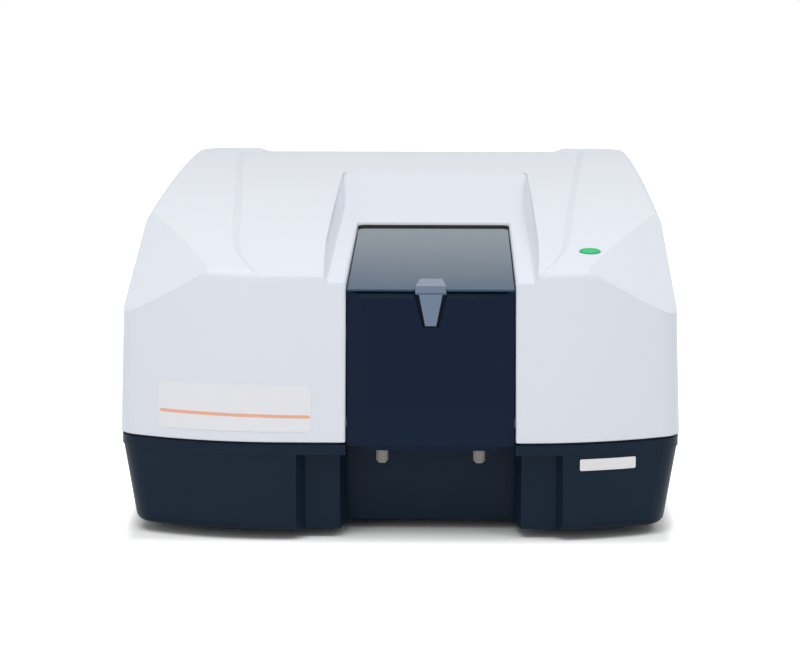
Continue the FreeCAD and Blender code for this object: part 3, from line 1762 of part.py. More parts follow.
def board_pillars():
    """Six pillars that rise from the pan under the main board."""
    start = foot_height + base_wall / 2
    length = pan_floor() + board_height - start
    return [
        cylinder(V(x, y, start), V(0, 0, 1), board_pillar_radius, length)
        for x, y in board_corner_places()
    ]


def make_main_board():
    """Main circuit board with its larger components."""
    bottom = pan_floor() + board_height
    top = bottom + board_thickness
    board = box(
        board_x0, board_x0 + board_width, board_y0, board_y0 + board_length, bottom, top
    )
    pieces = [board]
    for x, y, width, length, height in (
        (20, 30, 30, 30, 4), (70, 30, 40, 22, 3), (30, 90, 22, 22, 3),
        (90, 110, 48, 30, 12), (25, 170, 60, 10, 9), (110, 200, 16, 40, 14),
    ):
        x0 = board_x0 + x
        y0 = board_y0 + y
        pieces.append(box(x0, x0 + width, y0, y0 + length, top, top + height))
    return join(pieces)


def make_parts():
    """All nodes by name."""
    return {
        "top_cover": make_top_cover(),
        "base_pan": make_base_pan(),
        "rubber_feet": make_feet(),
        "rear_panel": make_rear_panel(),
        "rear_panel_screws": make_rear_screws(),
        "cover_screws": make_cover_screws(),
        "fan_frame": make_fan_frame(),
        "fan_rotor": make_fan_rotor(),
        "fan_guard": make_fan_guard(),
        "fan_screws": make_fan_screws(),
        "power_inlet": make_power_inlet(),
        "power_switch_housing": make_rocker_housing(),
        "power_rocker": make_rocker(),
        "usb_socket": make_usb_socket(),
        "compartment_tub": make_tub(),
        "beam_windows": make_windows(),
        "compartment_front_panel": make_front_panel(),
        "thumbscrew_left": make_thumbscrew(-1),
        "thumbscrew_right": make_thumbscrew(1),
        "lid_seal": make_seal(),
        "lid_shell": make_lid(),
        "lid_liner": make_liner(),
        "lid_handle": make_handle(),
        "lid_hinge_arms": make_hinge_arms(),
        "lid_hinge_brackets": make_hinge_brackets(),
        "lid_hinge_pin": make_hinge_pin(),
        "cell_holder_base": make_holder_base(),
        "sample_cell_holder": make_cell_holder(sample_beam_y),
        "reference_cell_holder": make_cell_holder(reference_beam_y),
        "sample_cell": make_cell(sample_beam_y),
        "sample_cell_cap": make_cell_cap(sample_beam_y),
        "reference_cell": make_cell(reference_beam_y),
        "reference_cell_cap": make_cell_cap(reference_beam_y),
        "start_button": make_button(),
        "start_button_switch": make_button_switch(),
        "optical_bench": make_bench(),
        "bench_mounts": make_bench_mounts(),
        "bench_screws": make_bench_screws(),
        "lamp_housing": make_lamp_housing(),
        "deuterium_lamp": make_deuterium_lamp(),
        "halogen_lamp": make_halogen_lamp(),
        "source_mirror": make_source_mirror(),
        "source_mirror_base": make_source_mirror_base(),
        "filter_wheel": make_filter_wheel(),
        "filter_wheel_motor": make_filter_motor(),
        "monochromator_casting": make_monochromator(),
        "monochromator_cover": make_monochromator_cover(),
        "entrance_slit": make_entrance_slit(),
        "exit_slit": make_exit_slit(),
        "collimating_mirrors": make_collimating_mirrors(),
        "grating_turret": make_turret(),
        "grating": make_grating(),
        "sector_mirror": make_sector_mirror(),
        "sector_mirror_motor": make_sector_motor(),
        "fold_mirror": make_fold_mirror(),
        "detector_housing": make_detector_housing(),
        "detector_mirrors": make_detector_mirrors(),
        "photomultiplier_tube": make_photomultiplier(),
        "power_supply": make_power_supply(),
        "main_board": make_main_board(),
    }


def main():
    """Writes one file per node."""
    os.makedirs("parts", exist_ok=True)
    for name, shape in make_parts().items():
        shape.exportStep("parts/" + name + ".step")


main()
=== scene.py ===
"""Studio scene of a bench-top UV-Vis spectrophotometer.

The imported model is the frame. Each sub-assembly below is a class that dresses
its own nodes and adds the thin trim that lies on them. Lengths are in metres:
X runs to the right seen from the front, Y to the rear and Z up from the table.
"""

import logging
import math
from dataclasses import dataclass, field
from enum import Enum
from typing import Any, Union

import bmesh
import bpy
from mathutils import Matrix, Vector


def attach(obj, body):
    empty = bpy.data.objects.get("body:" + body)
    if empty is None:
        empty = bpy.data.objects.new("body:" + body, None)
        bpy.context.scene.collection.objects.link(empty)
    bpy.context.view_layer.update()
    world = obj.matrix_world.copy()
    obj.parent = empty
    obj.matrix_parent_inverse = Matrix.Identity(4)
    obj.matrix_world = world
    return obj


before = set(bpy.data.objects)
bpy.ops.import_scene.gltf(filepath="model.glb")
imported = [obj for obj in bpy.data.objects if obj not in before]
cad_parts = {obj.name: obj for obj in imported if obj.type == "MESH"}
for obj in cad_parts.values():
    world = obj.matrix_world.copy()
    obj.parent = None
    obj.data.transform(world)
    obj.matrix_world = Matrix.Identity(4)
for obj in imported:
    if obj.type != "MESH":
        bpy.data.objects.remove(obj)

log = logging.getLogger("spectrophotometer")

Colour = tuple[float, float, float]
Place = tuple[float, float, float]
Number = Union[float, "Signal"]

# What all finishes have in common
EVEN: Place = (1, 1, 1)
BRUSH_MARKS: Place = (0.02, 1, 1)
PATCH_OCTAVES = 4.0
GRAIN_OCTAVES = 3.0
PEEL_OCTAVES = 1.0
MIDDLE = 0.5
GRAIN_SHEEN = 0.04
RUBBED_SHADE = 0.6
EDGE_GAIN = 6.0
COAT_ROUGHNESS = 0.08


class Relief(Enum):
    """Kinds of fine relief that a finish can have."""

    SPARKED = "fine spark-eroded grain of a mould"
    PEEL = "orange peel of powder coat"
    CAST = "open grain of sand casting"
    BRUSHED = "straight brush marks"
    RULED = "parallel rulings"


@dataclass(frozen=True)
class Signal:
    """One output of a node; arithmetic on it adds Math nodes."""

    tree: "Tree"
    socket: bpy.types.NodeSocket

    def _maths(self, operation: str, first: Number, second: Number) -> "Signal":
        """Adds one Math node.

        Args:
            operation: name of the Math node's operation.
            first: first operand.
            second: second operand.

        Returns:
            The node's result.
        """
        return self.tree.node("ShaderNodeMath", {"operation": operation}, {0: first, 1: second})

    def __add__(self, other: Number) -> "Signal":
        """Sum."""
        return self._maths("ADD", self, other)

    def __radd__(self, other: Number) -> "Signal":
        """Sum with the signal on the right."""
        return self._maths("ADD", other, self)

    def __sub__(self, other: Number) -> "Signal":
        """Difference."""
        return self._maths("SUBTRACT", self, other)

    def __rsub__(self, other: Number) -> "Signal":
        """Difference with the signal on the right."""
        return self._maths("SUBTRACT", other, self)

    def __mul__(self, other: Number) -> "Signal":
        """Product."""
        return self._maths("MULTIPLY", self, other)

    def __rmul__(self, other: Number) -> "Signal":
        """Product with the signal on the right."""
        return self._maths("MULTIPLY", other, self)

    def __pow__(self, other: Number) -> "Signal":
        """Power."""
        return self._maths("POWER", self, other)

    def __gt__(self, other: Number) -> "Signal":
        """1 where the signal is larger, otherwise 0."""
        return self._maths("GREATER_THAN", self, other)


class Tree:
    """Node tree of a material or of the surround."""

    def __init__(self, tree: bpy.types.NodeTree) -> None:
        """Takes the tree that the nodes go into."""
        self.tree = tree

    def node(
        self, kind: str, settings: dict[str, Any], values: dict[Any, Any], output: Any = 0
    ) -> Signal:
        """Adds one node.

        Args:
            kind: the node's type.
            settings: properties of the node, set before its sockets.
            values: numbers, colours or signals of its sockets.
            output: name or index of the output that is wanted.

        Returns:
            That output.
        """
        made = self.tree.nodes.new(kind)
        for name, value in settings.items():
            setattr(made, name, value)
        for key, value in values.items():
            self.feed(made.inputs[key], value)
        return Signal(self, made.outputs[output])

    def feed(self, socket: bpy.types.NodeSocket, value: Any) -> None:
        """Links a signal to a socket, or sets its constant.

        Args:
            socket: the input.
            value: number, colour or signal.
        """
        if isinstance(value, Signal):
            self.tree.links.new(value.socket, socket)
        elif isinstance(value, tuple) and socket.type == "RGBA":
            socket.default_value = (*value, 1.0)
        else:
            socket.default_value = value

    def seen(self) -> Signal:
        """Mask of what the camera sees, directly or in gloss or glass.

        Returns:
            1 for such a ray, otherwise 0.
        """
        mask = self.node("ShaderNodeLightPath", {}, {}, "Is Camera Ray")
        for name in ("Is Glossy Ray", "Is Transmission Ray"):
            other = self.node("ShaderNodeLightPath", {}, {}, name)
            mask = self.node("ShaderNodeMath", {"operation": "MAXIMUM"}, {0: mask, 1: other})
        return mask


class Shade(Tree):
    """Node tree of one material, with the nodes that the finishes share."""

    def __init__(self, name: str) -> None:
        """Starts the material.

        Args:
            name: name of the material.
        """
        self.material = bpy.data.materials.new(name)
        self.material.use_nodes = True
        super().__init__(self.material.node_tree)
        self.tree.nodes.clear()
        self.place = self.node("ShaderNodeTexCoord", {}, {}, "Object")

    def show(self, shader: Signal) -> None:
        """Makes a shader the material's surface."""
        output = self.tree.nodes.new("ShaderNodeOutputMaterial")
        self.feed(output.inputs["Surface"], shader)

    def dress(self, **values: Any) -> None:
        """Shows a Principled shader whose sockets are named with underscores."""
        sockets = {name.replace("_", " "): value for name, value in values.items()}
        self.show(self.node("ShaderNodeBsdfPrincipled", {}, sockets))

    def mix(self, share: Number, first: Any, second: Any) -> Signal:
        """Mixes two colours.

        Args:
            share: share of the second colour.
            first: first colour.
            second: second colour.

        Returns:
            The mixed colour.
        """
        return self.node(
            "ShaderNodeMix", {"data_type": "RGBA"}, {0: share, 6: first, 7: second}, 2
        )

    def stretched(self, stretch: Place) -> Signal:
        """Object coordinates, scaled along each axis."""
        return self.node("ShaderNodeMapping", {}, {"Vector": self.place, "Scale": stretch})

    def noise(self, size: float, detail: float, stretch: Place = EVEN) -> Signal:
        """Soft noise.

        Args:
            size: size of its patches.
            detail: octaves.
            stretch: scale of the coordinates along each axis.

        Returns:
            A number from 0 to 1.
        """
        where = self.place if stretch == EVEN else self.stretched(stretch)
        values = {"Vector": where, "Scale": 1 / size, "Detail": detail}
        return self.node("ShaderNodeTexNoise", {}, values)

    def cells(self, size: float) -> Signal:
        """Distance to the nearest of many scattered points.

        Args:
            size: distance between the points.

        Returns:
            The distance, in cells.
        """
        values = {"Vector": self.place, "Scale": 1 / size}
        return self.node("ShaderNodeTexVoronoi", {}, values, "Distance")

    def grain(self, kind: Relief, size: float) -> Signal:
        """Height of a fine relief.

        Args:
            kind: kind of relief.
            size: size of its grains.

        Returns:
            A number from 0 to 1.
        """
        if kind is Relief.BRUSHED:
            return self.noise(size, GRAIN_OCTAVES, BRUSH_MARKS)
        if kind is Relief.RULED:
            settings = {"wave_type": "BANDS", "bands_direction": "Y"}
            values = {"Vector": self.place, "Scale": 1 / size}
            return self.node("ShaderNodeTexWave", settings, values)
        if kind is Relief.CAST:
            return self.cells(size)
        return self.noise(size, PEEL_OCTAVES if kind is Relief.PEEL else GRAIN_OCTAVES)

    def soft_edges(self, radius: float) -> Signal:
        """Normal that rounds the edges of a piece by a radius."""
        return self.node("ShaderNodeBevel", {"samples": 4}, {"Radius": radius})

    def edge_mask(self, rounded: Signal) -> Signal:
        """1 on the edges of a piece and 0 on its faces.

        Args:
            rounded: normal from soft_edges.

        Returns:
            The mask.
        """
        flat = self.node("ShaderNodeNewGeometry", {}, {}, "Normal")
        along = self.node(
            "ShaderNodeVectorMath", {"operation": "DOT_PRODUCT"}, {0: rounded, 1: flat}, "Value"
        )
        return self.node("ShaderNodeClamp", {}, {"Value": (1 - along) * EDGE_GAIN})

    def relief(self, height: Signal, depth: float, normal: Signal) -> Signal:
        """Normal of a fine relief.

        Args:
            height: the relief, from 0 to 1.
            depth: its depth.
            normal: normal under it.

        Returns:
            The bumped normal.
        """
        values = {"Strength": 1.0, "Distance": depth, "Height": height, "Normal": normal}
        return self.node("ShaderNodeBump", {}, values)


@dataclass(frozen=True)
class Finish:
    """Opaque finish: colour, sheen, fine relief, softened edges and wear.

    Attributes:
        name: name of the material.
        colour: linear base colour.
        roughness: mean roughness.
        metallic: 1 for bare metal.
        specular: specular level.
        kind: kind of relief.
        size: grain size of the relief.
        depth: depth of the relief.
        edge: radius of the softened edges.
        tone: how far the colour drifts over the surface.
        drift: size of the patches in which it drifts.
        smudge: how far the roughness drifts.
        wear: how much lighter the edges are rubbed.
        coat: weight of a clear coat.
        haze: how much rougher it is rubbed at its front end.
        handled: Y where the haze starts and Y where it is full.
    """

    name: str
    colour: Colour
    roughness: float
    metallic: float = 0.0
    specular: float = 0.5
    kind: Relief = Relief.SPARKED
    size: float = 0.0008
    depth: float = 0.00002
    edge: float = 0.0006
    tone: float = 0.03
    drift: float = 0.06
    smudge: float = 0.06
    wear: float = 0.0
    coat: float = 0.0
    haze: float = 0.0
    handled: tuple[float, float] = (-0.07, -0.3)

    def tint(self, shade: Shade, patches: Signal, rounded: Signal) -> Signal:
        """Colour that drifts over the surface and is lighter where the edges are rubbed.

        Args:
            shade: the material.
            patches: noise in which the colour drifts.
            rounded: normal with the softened edges.

        Returns:
            The colour.
        """
        darker = tuple(c * (1 - self.tone) for c in self.colour)
        lighter = tuple(min(c * (1 + self.tone), 1.0) for c in self.colour)
        colour = shade.mix(patches, darker, lighter)
        if self.wear > 0:
            rubbed = tuple(c + (RUBBED_SHADE - c) * self.wear for c in self.colour)
            colour = shade.mix(shade.edge_mask(rounded), colour, rubbed)
        return colour

    def sheen(self, shade: Shade, patches: Signal, fine: Signal) -> Signal:
        """Roughness with its drift and, where the piece is handled, its haze.

        Args:
            shade: the material.
            patches: noise in which the roughness drifts.
            fine: height of the relief.

        Returns:
            The roughness.
        """
        rough = self.roughness + (patches - MIDDLE) * self.smudge + (fine - MIDDLE) * GRAIN_SHEEN
        if self.haze > 0:
            start, full = self.handled
            along = shade.node("ShaderNodeSeparateXYZ", {}, {0: shade.place}, "Y")
            values = {"Value": along, "From Min": start, "From Max": full, "To Max": self.haze}
            rough = rough + shade.node("ShaderNodeMapRange", {}, values)
        return rough

    def make(self) -> bpy.types.Material:
        """Builds the material.

        Returns:
            The material.
        """
        shade = Shade(self.name)
        patches = shade.noise(self.drift, PATCH_OCTAVES)
        fine = shade.grain(self.kind, self.size)
        rounded = shade.soft_edges(self.edge)
        shade.dress(
            Base_Color=self.tint(shade, patches, rounded),
            Roughness=self.sheen(shade, patches, fine),
            Metallic=self.metallic,
            Specular_IOR_Level=self.specular,
            Coat_Weight=self.coat,
            Coat_Roughness=COAT_ROUGHNESS,
            Normal=shade.relief(fine, self.depth, rounded),
        )
        return shade.material


@dataclass(frozen=True)
class Glass:
    """Clear silica or glass with faint finger marks.

    Attributes:
        name: name of the material.
        colour: tint.
        index: index of refraction.
        roughness: roughness where it is clean.
        marked: how much rougher the finger marks are.
        mark_size: size of the finger marks.
        clean: level of the noise under which the surface is clean.
    """

    name: str
    colour: Colour = (0.95, 0.98, 1.0)
    index: float = 1.46
    roughness: float = 0.02
    marked: float = 0.05
    mark_size: float = 0.006
    clean: float = 0.58

    def make(self) -> bpy.types.Material:
        """Builds the material.

        Returns:
            The material.
        """
        shade = Shade(self.name)
        marks = shade.noise(self.mark_size, GRAIN_OCTAVES) > self.clean
        shade.dress(
            Base_Color=self.colour,
            Roughness=self.roughness + marks * self.marked,
            IOR=self.index,
            Transmission_Weight=1.0,
        )
        return shade.material


@dataclass(frozen=True)
class ButtonGreen:
    """Translucent green cap, a little brighter in the middle, with a painted glow as though lit from
    inside and painted shade that deepens its colour towards the rim.

    Attributes:
        name: name of the material.
        colour: linear colour of the cap.
        centre: middle of the cap.
        radius: radius of the cap.
        rim_shade_power: power by which the colour deepens towards the rim.
        rim_shade: share of the colour that is left at the rim.
        roughness: lowest roughness.
        matt: how much rougher the grain makes it.
        specular: specular level.
        glow: strength of the painted glow, as though the cap were lit from inside.
        grain: size of the grain.
        octaves: octaves of the grain.
        depth: depth of the grain.
        edge: radius of the softened edge.
    """

    name: str = "button_green"
    colour: Colour = (0.006, 0.46, 0.165)
    centre: Place = (0.156, -0.24, 0.2305)
    radius: float = 0.0085
    rim_shade_power: float = 4.0
    rim_shade: float = 0.8
    roughness: float = 0.28
    matt: float = 0.08
    specular: float = 0.05
    glow: float = 0.12
    grain: float = 0.0006
    octaves: float = 2.0
    depth: float = 0.00001
    edge: float = 0.0005

    def make(self) -> bpy.types.Material:
        """Builds the material.

        Returns:
            The material.
        """
        shade = Shade(self.name)
        places = {0: shade.place, 1: self.centre}
        offset = shade.node("ShaderNodeVectorMath", {"operation": "DISTANCE"}, places, "Value")
        # Painted shade: the colour darkens towards the rim, which leaves the middle brighter.
        rim = (offset * (1 / self.radius)) ** self.rim_shade_power
        fine = shade.noise(self.grain, self.octaves)
        colour = shade.mix(rim, self.colour, tuple(c * self.rim_shade for c in self.colour))
        # Painted glow: the cap gives off its own colour as light, though no lamp is in it.
        shade.dress(
            Base_Color=colour,
            Roughness=self.roughness + fine * self.matt,
            Specular_IOR_Level=self.specular,
            Emission_Color=colour,
            Emission_Strength=self.glow,
            Normal=shade.relief(fine, self.depth, shade.soft_edges(self.edge)),
        )
        return shade.material


@dataclass(frozen=True)
class CircuitBoard:
    """Solder mask over copper tracks with tinned pads.

    Attributes:
        name: name of the material.
        mask: linear colour of the mask.
        over_copper: how much lighter the mask is over a track.
        tin: linear colour of the pads.
        pitch: pitch of the tracks.
        track: width of the tracks, as a share of the pitch.
        pad_pitch: pitch of the pads.
        pad: radius of the pads, as a share of their pitch.
        roughness: roughness of the mask.
        polish: how much smoother the pads are.
        metal: how metallic the pads are.
        depth: height of the tracks and pads.
        edge: radius of the softened edges.
    """

    name: str = "solder_mask"
    mask: Colour = (0.012, 0.11, 0.045)
    over_copper: float = 1.7
    tin: Colour = (0.62, 0.61, 0.58)
    pitch: float = 0.004
    track: float = 0.12
    pad_pitch: float = 0.008
    pad: float = 0.16
    roughness: float = 0.34
    polish: float = 0.1
    metal: float = 0.9
    depth: float = 0.00004
    edge: float = 0.0002

    def make(self) -> bpy.types.Material:
        """Builds the material.

        Returns:
            The material.
        """
        shade = Shade(self.name)
        values = {"Vector": shade.place, "Scale": 1 / self.pitch, "Mortar Size": self.track}
        tracks = shade.node("ShaderNodeTexBrick", {}, values, "Fac")
        pads = self.pad - shade.cells(self.pad_pitch) > 0.0
        raised = tuple(c * self.over_copper for c in self.mask)
        shade.dress(
            Base_Color=shade.mix(pads, shade.mix(tracks, self.mask, raised), self.tin),
            Roughness=self.roughness - pads * self.polish,
            Metallic=pads * self.metal,
            Normal=shade.relief(tracks + pads, self.depth, shade.soft_edges(self.edge)),
        )
        return shade.material


AnyFinish = Union[Finish, Glass, ButtonGreen, CircuitBoard]

WHITE_COVER = Finish(
    "white_cover", (0.72, 0.75, 0.815), 0.42, specular=0.1, edge=0.0016, tone=0.008, drift=0.2
)
NAVY_BASE = Finish(
    "navy_base", (0.0042, 0.0130, 0.0270), 0.46, specular=0.1, size=0.0009, depth=0.00003,
    edge=0.0009, tone=0.06, wear=0.02,
)
NAVY_PANEL = Finish(
    "navy_panel", (0.0012, 0.0095, 0.0285), 0.3, specular=0.08, size=0.0005, depth=0.000006,
    edge=0.0008, tone=0.05, smudge=0.1, wear=0.02,
)
NAVY_LID = Finish(
    "navy_lid", (0.0040, 0.0450, 0.0900), 0.12, specular=0.38, size=0.0005, depth=0.000003,
    edge=0.0008, tone=0.05, smudge=0.04, wear=0.02, haze=0.3,
)
HANDLE_GREY = Finish(
    "handle_grey", (0.127, 0.178, 0.258), 0.34, specular=0.4, size=0.0005, depth=0.000012, tone=0.04
)
NICKEL = Finish(
    "nickel", (0.138, 0.132, 0.124), 0.36, metallic=1.0, kind=Relief.BRUSHED, size=0.0004,
    depth=0.00001, edge=0.0002, wear=0.1,
)
ZINC = Finish(
    "zinc_plate", (0.33, 0.335, 0.34), 0.36, metallic=1.0, size=0.003, depth=0.00001,
    edge=0.0003, tone=0.1, drift=0.02, wear=0.1,
)
WIRE = Finish("plated_wire", (0.38, 0.385, 0.4), 0.22, metallic=1.0, edge=0.0003, tone=0.05)
POWDER_GREY = Finish(
    "powder_grey", (0.30, 0.32, 0.345), 0.55, kind=Relief.PEEL, size=0.0012, depth=0.00005, edge=0.0004
)
BLACK_PLASTIC = Finish("black_plastic", (0.018, 0.018, 0.02), 0.42, wear=0.03)
BLACK_GLOSS = Finish("black_gloss", (0.02, 0.02, 0.022), 0.2, depth=0.000004, coat=0.3)
BLACK_PAINT = Finish(
    "black_paint", (0.014, 0.014, 0.016), 0.7, kind=Relief.PEEL, size=0.001, depth=0.00004, wear=0.05
)
RUBBER = Finish("rubber", (0.022, 0.022, 0.023), 0.8, size=0.0004, depth=0.00003, tone=0.1)
ANODISED = Finish(
    "black_anodised", (0.03, 0.03, 0.034), 0.4, metallic=0.6, kind=Relief.BRUSHED, size=0.0006,
    depth=0.00001, edge=0.0003, wear=0.15,
)
CAST = Finish(
    "cast_aluminium", (0.53, 0.54, 0.55), 0.5, metallic=1.0, kind=Relief.CAST, size=0.0016,
    depth=0.00006, edge=0.0008, tone=0.08, wear=0.1,
)
MACHINED = Finish(
    "machined_aluminium", (0.62, 0.63, 0.64), 0.3, metallic=1.0, kind=Relief.BRUSHED,
    size=0.0007, depth=0.00001, edge=0.0003,
)
MIRROR = Finish(
    "mirror_coating", (0.9, 0.905, 0.92), 0.04, metallic=1.0, depth=0.0000005, tone=0.01,
    smudge=0.02, edge=0.0003,
)
GRATING = Finish(
    "ruled_grating", (0.78, 0.8, 0.86), 0.12, metallic=1.0, kind=Relief.RULED, size=0.0004,
    depth=0.00001, edge=0.0003,
)
FLUOROPOLYMER = Finish("fluoropolymer", (0.82, 0.82, 0.81), 0.48, specular=0.3, tone=0.02)
PLATE_FILM = Finish(
    "plate_film", (0.752, 0.759, 0.795), 0.36, specular=0.35, size=0.0004, depth=0.000004,
    edge=0.0002, tone=0.01,
)
STRIPE_INK = Finish(
    "stripe_ink", (0.78, 0.40, 0.27), 0.38, specular=0.35, size=0.0003, depth=0.000004,
    edge=0.0001, tone=0.05, drift=0.01,
)
PLATE_METAL = Finish(
    "plate_metal", (0.50, 0.50, 0.51), 0.38, metallic=0.6, kind=Relief.BRUSHED, size=0.0003,
    depth=0.000006, edge=0.0002,
)
SILICA = Glass("silica")
BULB = Glass("bulb_glass", (0.86, 0.9, 0.95), 1.5)
BUTTON = ButtonGreen()
BOARD = CircuitBoard()


def add_object(name: str, data: bpy.types.ID) -> bpy.types.Object:
    """Adds an object to the scene.

    Args:
        name: name of the object.
        data: its mesh, lamp or camera.

    Returns:
        The object.
    """
    made = bpy.data.objects.new(name, data)
    bpy.context.scene.collection.objects.link(made)
    return made


def add_mesh(name: str, mesh: bmesh.types.BMesh, material: bpy.types.Material) -> bpy.types.Object:
    """Adds a finished mesh to the scene.

    Args:
        name: name of the object and of its mesh.
        mesh: the mesh, which is used up.
        material: its material.

    Returns:
        The object.
    """
    data = bpy.data.meshes.new(name)
    mesh.to_mesh(data)
    mesh.free()
    data.materials.append(material)
    return add_object(name, data)


@dataclass
class Workshop:
    """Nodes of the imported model, and each finish's material once it is made.

    Attributes:
        nodes: the nodes by their names.
        made: the materials by their names.
    """

    nodes: dict[str, bpy.types.Object]
    made: dict[str, bpy.types.Material] = field(default_factory=dict)

    def material(self, finish: AnyFinish) -> bpy.types.Material:
        """Material of a finish, made on first use.

        Args:
            finish: the finish.

        Returns:
            Its material.
        """
        if finish.name not in self.made:
            self.made[finish.name] = finish.make()
        return self.made[finish.name]

    def dress(self, finish: AnyFinish, *names: str) -> None:
        """Gives nodes a finish.

        Args:
            finish: the finish.
            *names: names of the nodes.
        """
        material = self.material(finish)
        for name in names:
            for slot in self.nodes[name].material_slots:
                slot.material = material
            log.info("%s: %s", name, finish.name)


@dataclass(frozen=True)
class Plate:
    """Thin plate that is stuck to an upright front face and follows its curve.

    Attributes:
        name: name of the piece.
        carrier: node under it.
        left: X of its left end.
        right: X of its right end.
        bottom: Z of its lower edge at the left end.
        top: Z of its upper edge at the left end.
        fall: how far the right end lies below the left end.
        corner: radius of its corners.
        proud: height of its face above the carrier.
        sunk: how deep its rim reaches into the carrier.
        approach: Y in front of the carrier, from which its face is sought.
        columns: number of faces along it.
        rows: number of faces from bottom to top.
    """

    name: str
    carrier: str
    left: float
    right: float
    bottom: float
    top: float
    fall: float = 0.0
    corner: float = 0.001
    proud: float = 0.0003
    sunk: float = 0.0004
    approach: float = -1.0
    columns: int = 72
    rows: int = 6

    def cut_back(self, x: float) -> float:
        """How far the rounded corners take the edge in.

        Args:
            x: place along the plate.

        Returns:
            The distance at that place.
        """
        reach = min(x - self.left, self.right - x, self.corner)
        missing = self.corner - reach
        return self.corner - math.sqrt(max(self.corner**2 - missing**2, 0.0))

    def seat(self, carrier: bpy.types.Object, x: float, z: float) -> Vector:
        """Point of the carrier's front face.

        Args:
            carrier: node under the plate.
            x: X of the point.
            z: Z of the point.

        Returns:
            The point.
        """
        hit, place, _, _ = carrier.ray_cast(Vector((x, self.approach, z)), Vector((0, 1, 0)))
        if not hit:
            raise ValueError(f"{self.name} reaches past {self.carrier}")
        return place

    def lay_face(self, mesh: bmesh.types.BMesh, carrier: bpy.types.Object) -> None:
        """Lays the plate's face over its carrier.

        Args:
            mesh: mesh that the face goes into.
            carrier: node under the plate.
        """
        grid: list[list[bmesh.types.BMVert]] = []
        for i in range(self.columns + 1):
            share = i / self.columns
            x = self.left + (self.right - self.left) * share
            drop = self.fall * share
            inset = self.cut_back(x)
            low = self.bottom - drop + inset
            high = self.top - drop - inset
            column = []
            for j in range(self.rows + 1):
                place = self.seat(carrier, x, low + (high - low) * j / self.rows)
                column.append(mesh.verts.new(place - Vector((0, self.proud, 0))))
            grid.append(column)
        for first, second in zip(grid, grid[1:]):
            for j in range(self.rows):
                mesh.faces.new((first[j], second[j], second[j + 1], first[j + 1]))

    def sink_rim(self, mesh: bmesh.types.BMesh) -> None:
        """Takes the edge of the face back into the carrier.

        Args:
            mesh: mesh with the face.
        """
        rim = [edge for edge in mesh.edges if edge.is_boundary]
        skirt = bmesh.ops.extrude_edge_only(mesh, edges=rim)["geom"]
        back = [made for made in skirt if isinstance(made, bmesh.types.BMVert)]
        bmesh.ops.translate(mesh, verts=back, vec=Vector((0, self.proud + self.sunk, 0)))
        bmesh.ops.recalc_face_normals(mesh, faces=mesh.faces)

    def build(self, shop: Workshop, finish: AnyFinish, body: str) -> None:
        """Builds the plate and lets it ride on a body.

        Args:
            shop: nodes and materials.
            finish: finish of the plate.
            body: body that carries it.
        """
        mesh = bmesh.new()
        self.lay_face(mesh, shop.nodes[self.carrier])
        self.sink_rim(mesh)
        piece = add_mesh(self.name, mesh, shop.material(finish))
        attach(piece, body)
        log.info("%s: added", self.name)


@dataclass
class Housing:
    """Cover and base with the bare plates on them.

    Attributes:
        name_plate: plate on the left of the cover.
        stripe: plain stripe across it.
        small_plate: plate on the right of the base.
    """

    name_plate: Plate = Plate(
        "name_plate", "top_cover", left=-0.196, right=-0.070, bottom=0.091, top=0.129, corner=0.005
    )
    stripe: Plate = Plate(
        "name_plate_stripe", "top_cover", left=-0.1945, right=-0.0712, bottom=0.1040, top=0.1066,
        fall=0.0019, corner=0.0003, proud=0.00036, rows=2,
    )
    small_plate: Plate = Plate(
        "small_plate", "base_pan", left=0.147, right=0.193, bottom=0.0585, top=0.068
    )

    def build(self, shop: Workshop) -> None:
        """Dresses the housing and adds its plates.

        Args:
            shop: nodes and materials.
        """
        shop.dress(WHITE_COVER, "top_cover")
        shop.dress(NAVY_BASE, "base_pan")
        shop.dress(RUBBER, "rubber_feet")
        shop.dress(ZINC, "cover_screws")
        self.name_plate.build(shop, PLATE_FILM, "housing")
        self.stripe.build(shop, STRIPE_INK, "housing")
        self.small_plate.build(shop, PLATE_METAL, "housing")


@dataclass
class RearPanel:
    """Rear panel with fan, inlet, switch and socket."""

    def build(self, shop: Workshop) -> None:
        """Dresses the rear panel and what it carries.

        Args:
            shop: nodes and materials.
        """
        shop.dress(POWDER_GREY, "rear_panel")
        shop.dress(ZINC, "rear_panel_screws", "fan_screws", "usb_socket")
        shop.dress(BLACK_PLASTIC, "fan_frame", "fan_rotor", "power_inlet", "power_switch_housing")
        shop.dress(BLACK_GLOSS, "power_rocker")
        shop.dress(WIRE, "fan_guard")


@dataclass
class SampleCompartment:
    """Compartment tub, its front panel and what stands in it."""

    def build(self, shop: Workshop) -> None:
        """Dresses the compartment.

        Args:
            shop: nodes and materials.
        """
        shop.dress(BLACK_PAINT, "compartment_tub")
        shop.dress(NAVY_PANEL, "compartment_front_panel")
        shop.dress(NICKEL, "thumbscrew_left", "thumbscrew_right")
        shop.dress(SILICA, "beam_windows", "sample_cell", "reference_cell")
        shop.dress(FLUOROPOLYMER, "sample_cell_cap", "reference_cell_cap")
        shop.dress(ANODISED, "cell_holder_base", "sample_cell_holder", "reference_cell_holder")


@dataclass
class Lid:
    """Lid with its liner, seal, hinge and handle."""

    def build(self, shop: Workshop) -> None:
        """Dresses the lid.

        Args:
            shop: nodes and materials.
        """
        shop.dress(NAVY_LID, "lid_shell")
        shop.dress(HANDLE_GREY, "lid_handle")
        shop.dress(BLACK_PAINT, "lid_liner", "lid_hinge_arms", "lid_hinge_brackets")
        shop.dress(RUBBER, "lid_seal")
        shop.dress(MACHINED, "lid_hinge_pin")


@dataclass
class StartButton:
    """Round button on the right shoulder and the switch under it."""

    def build(self, shop: Workshop) -> None:
        """Dresses the button and its switch."""
        shop.dress(BUTTON, "start_button")
        shop.dress(BLACK_PLASTIC, "start_button_switch")


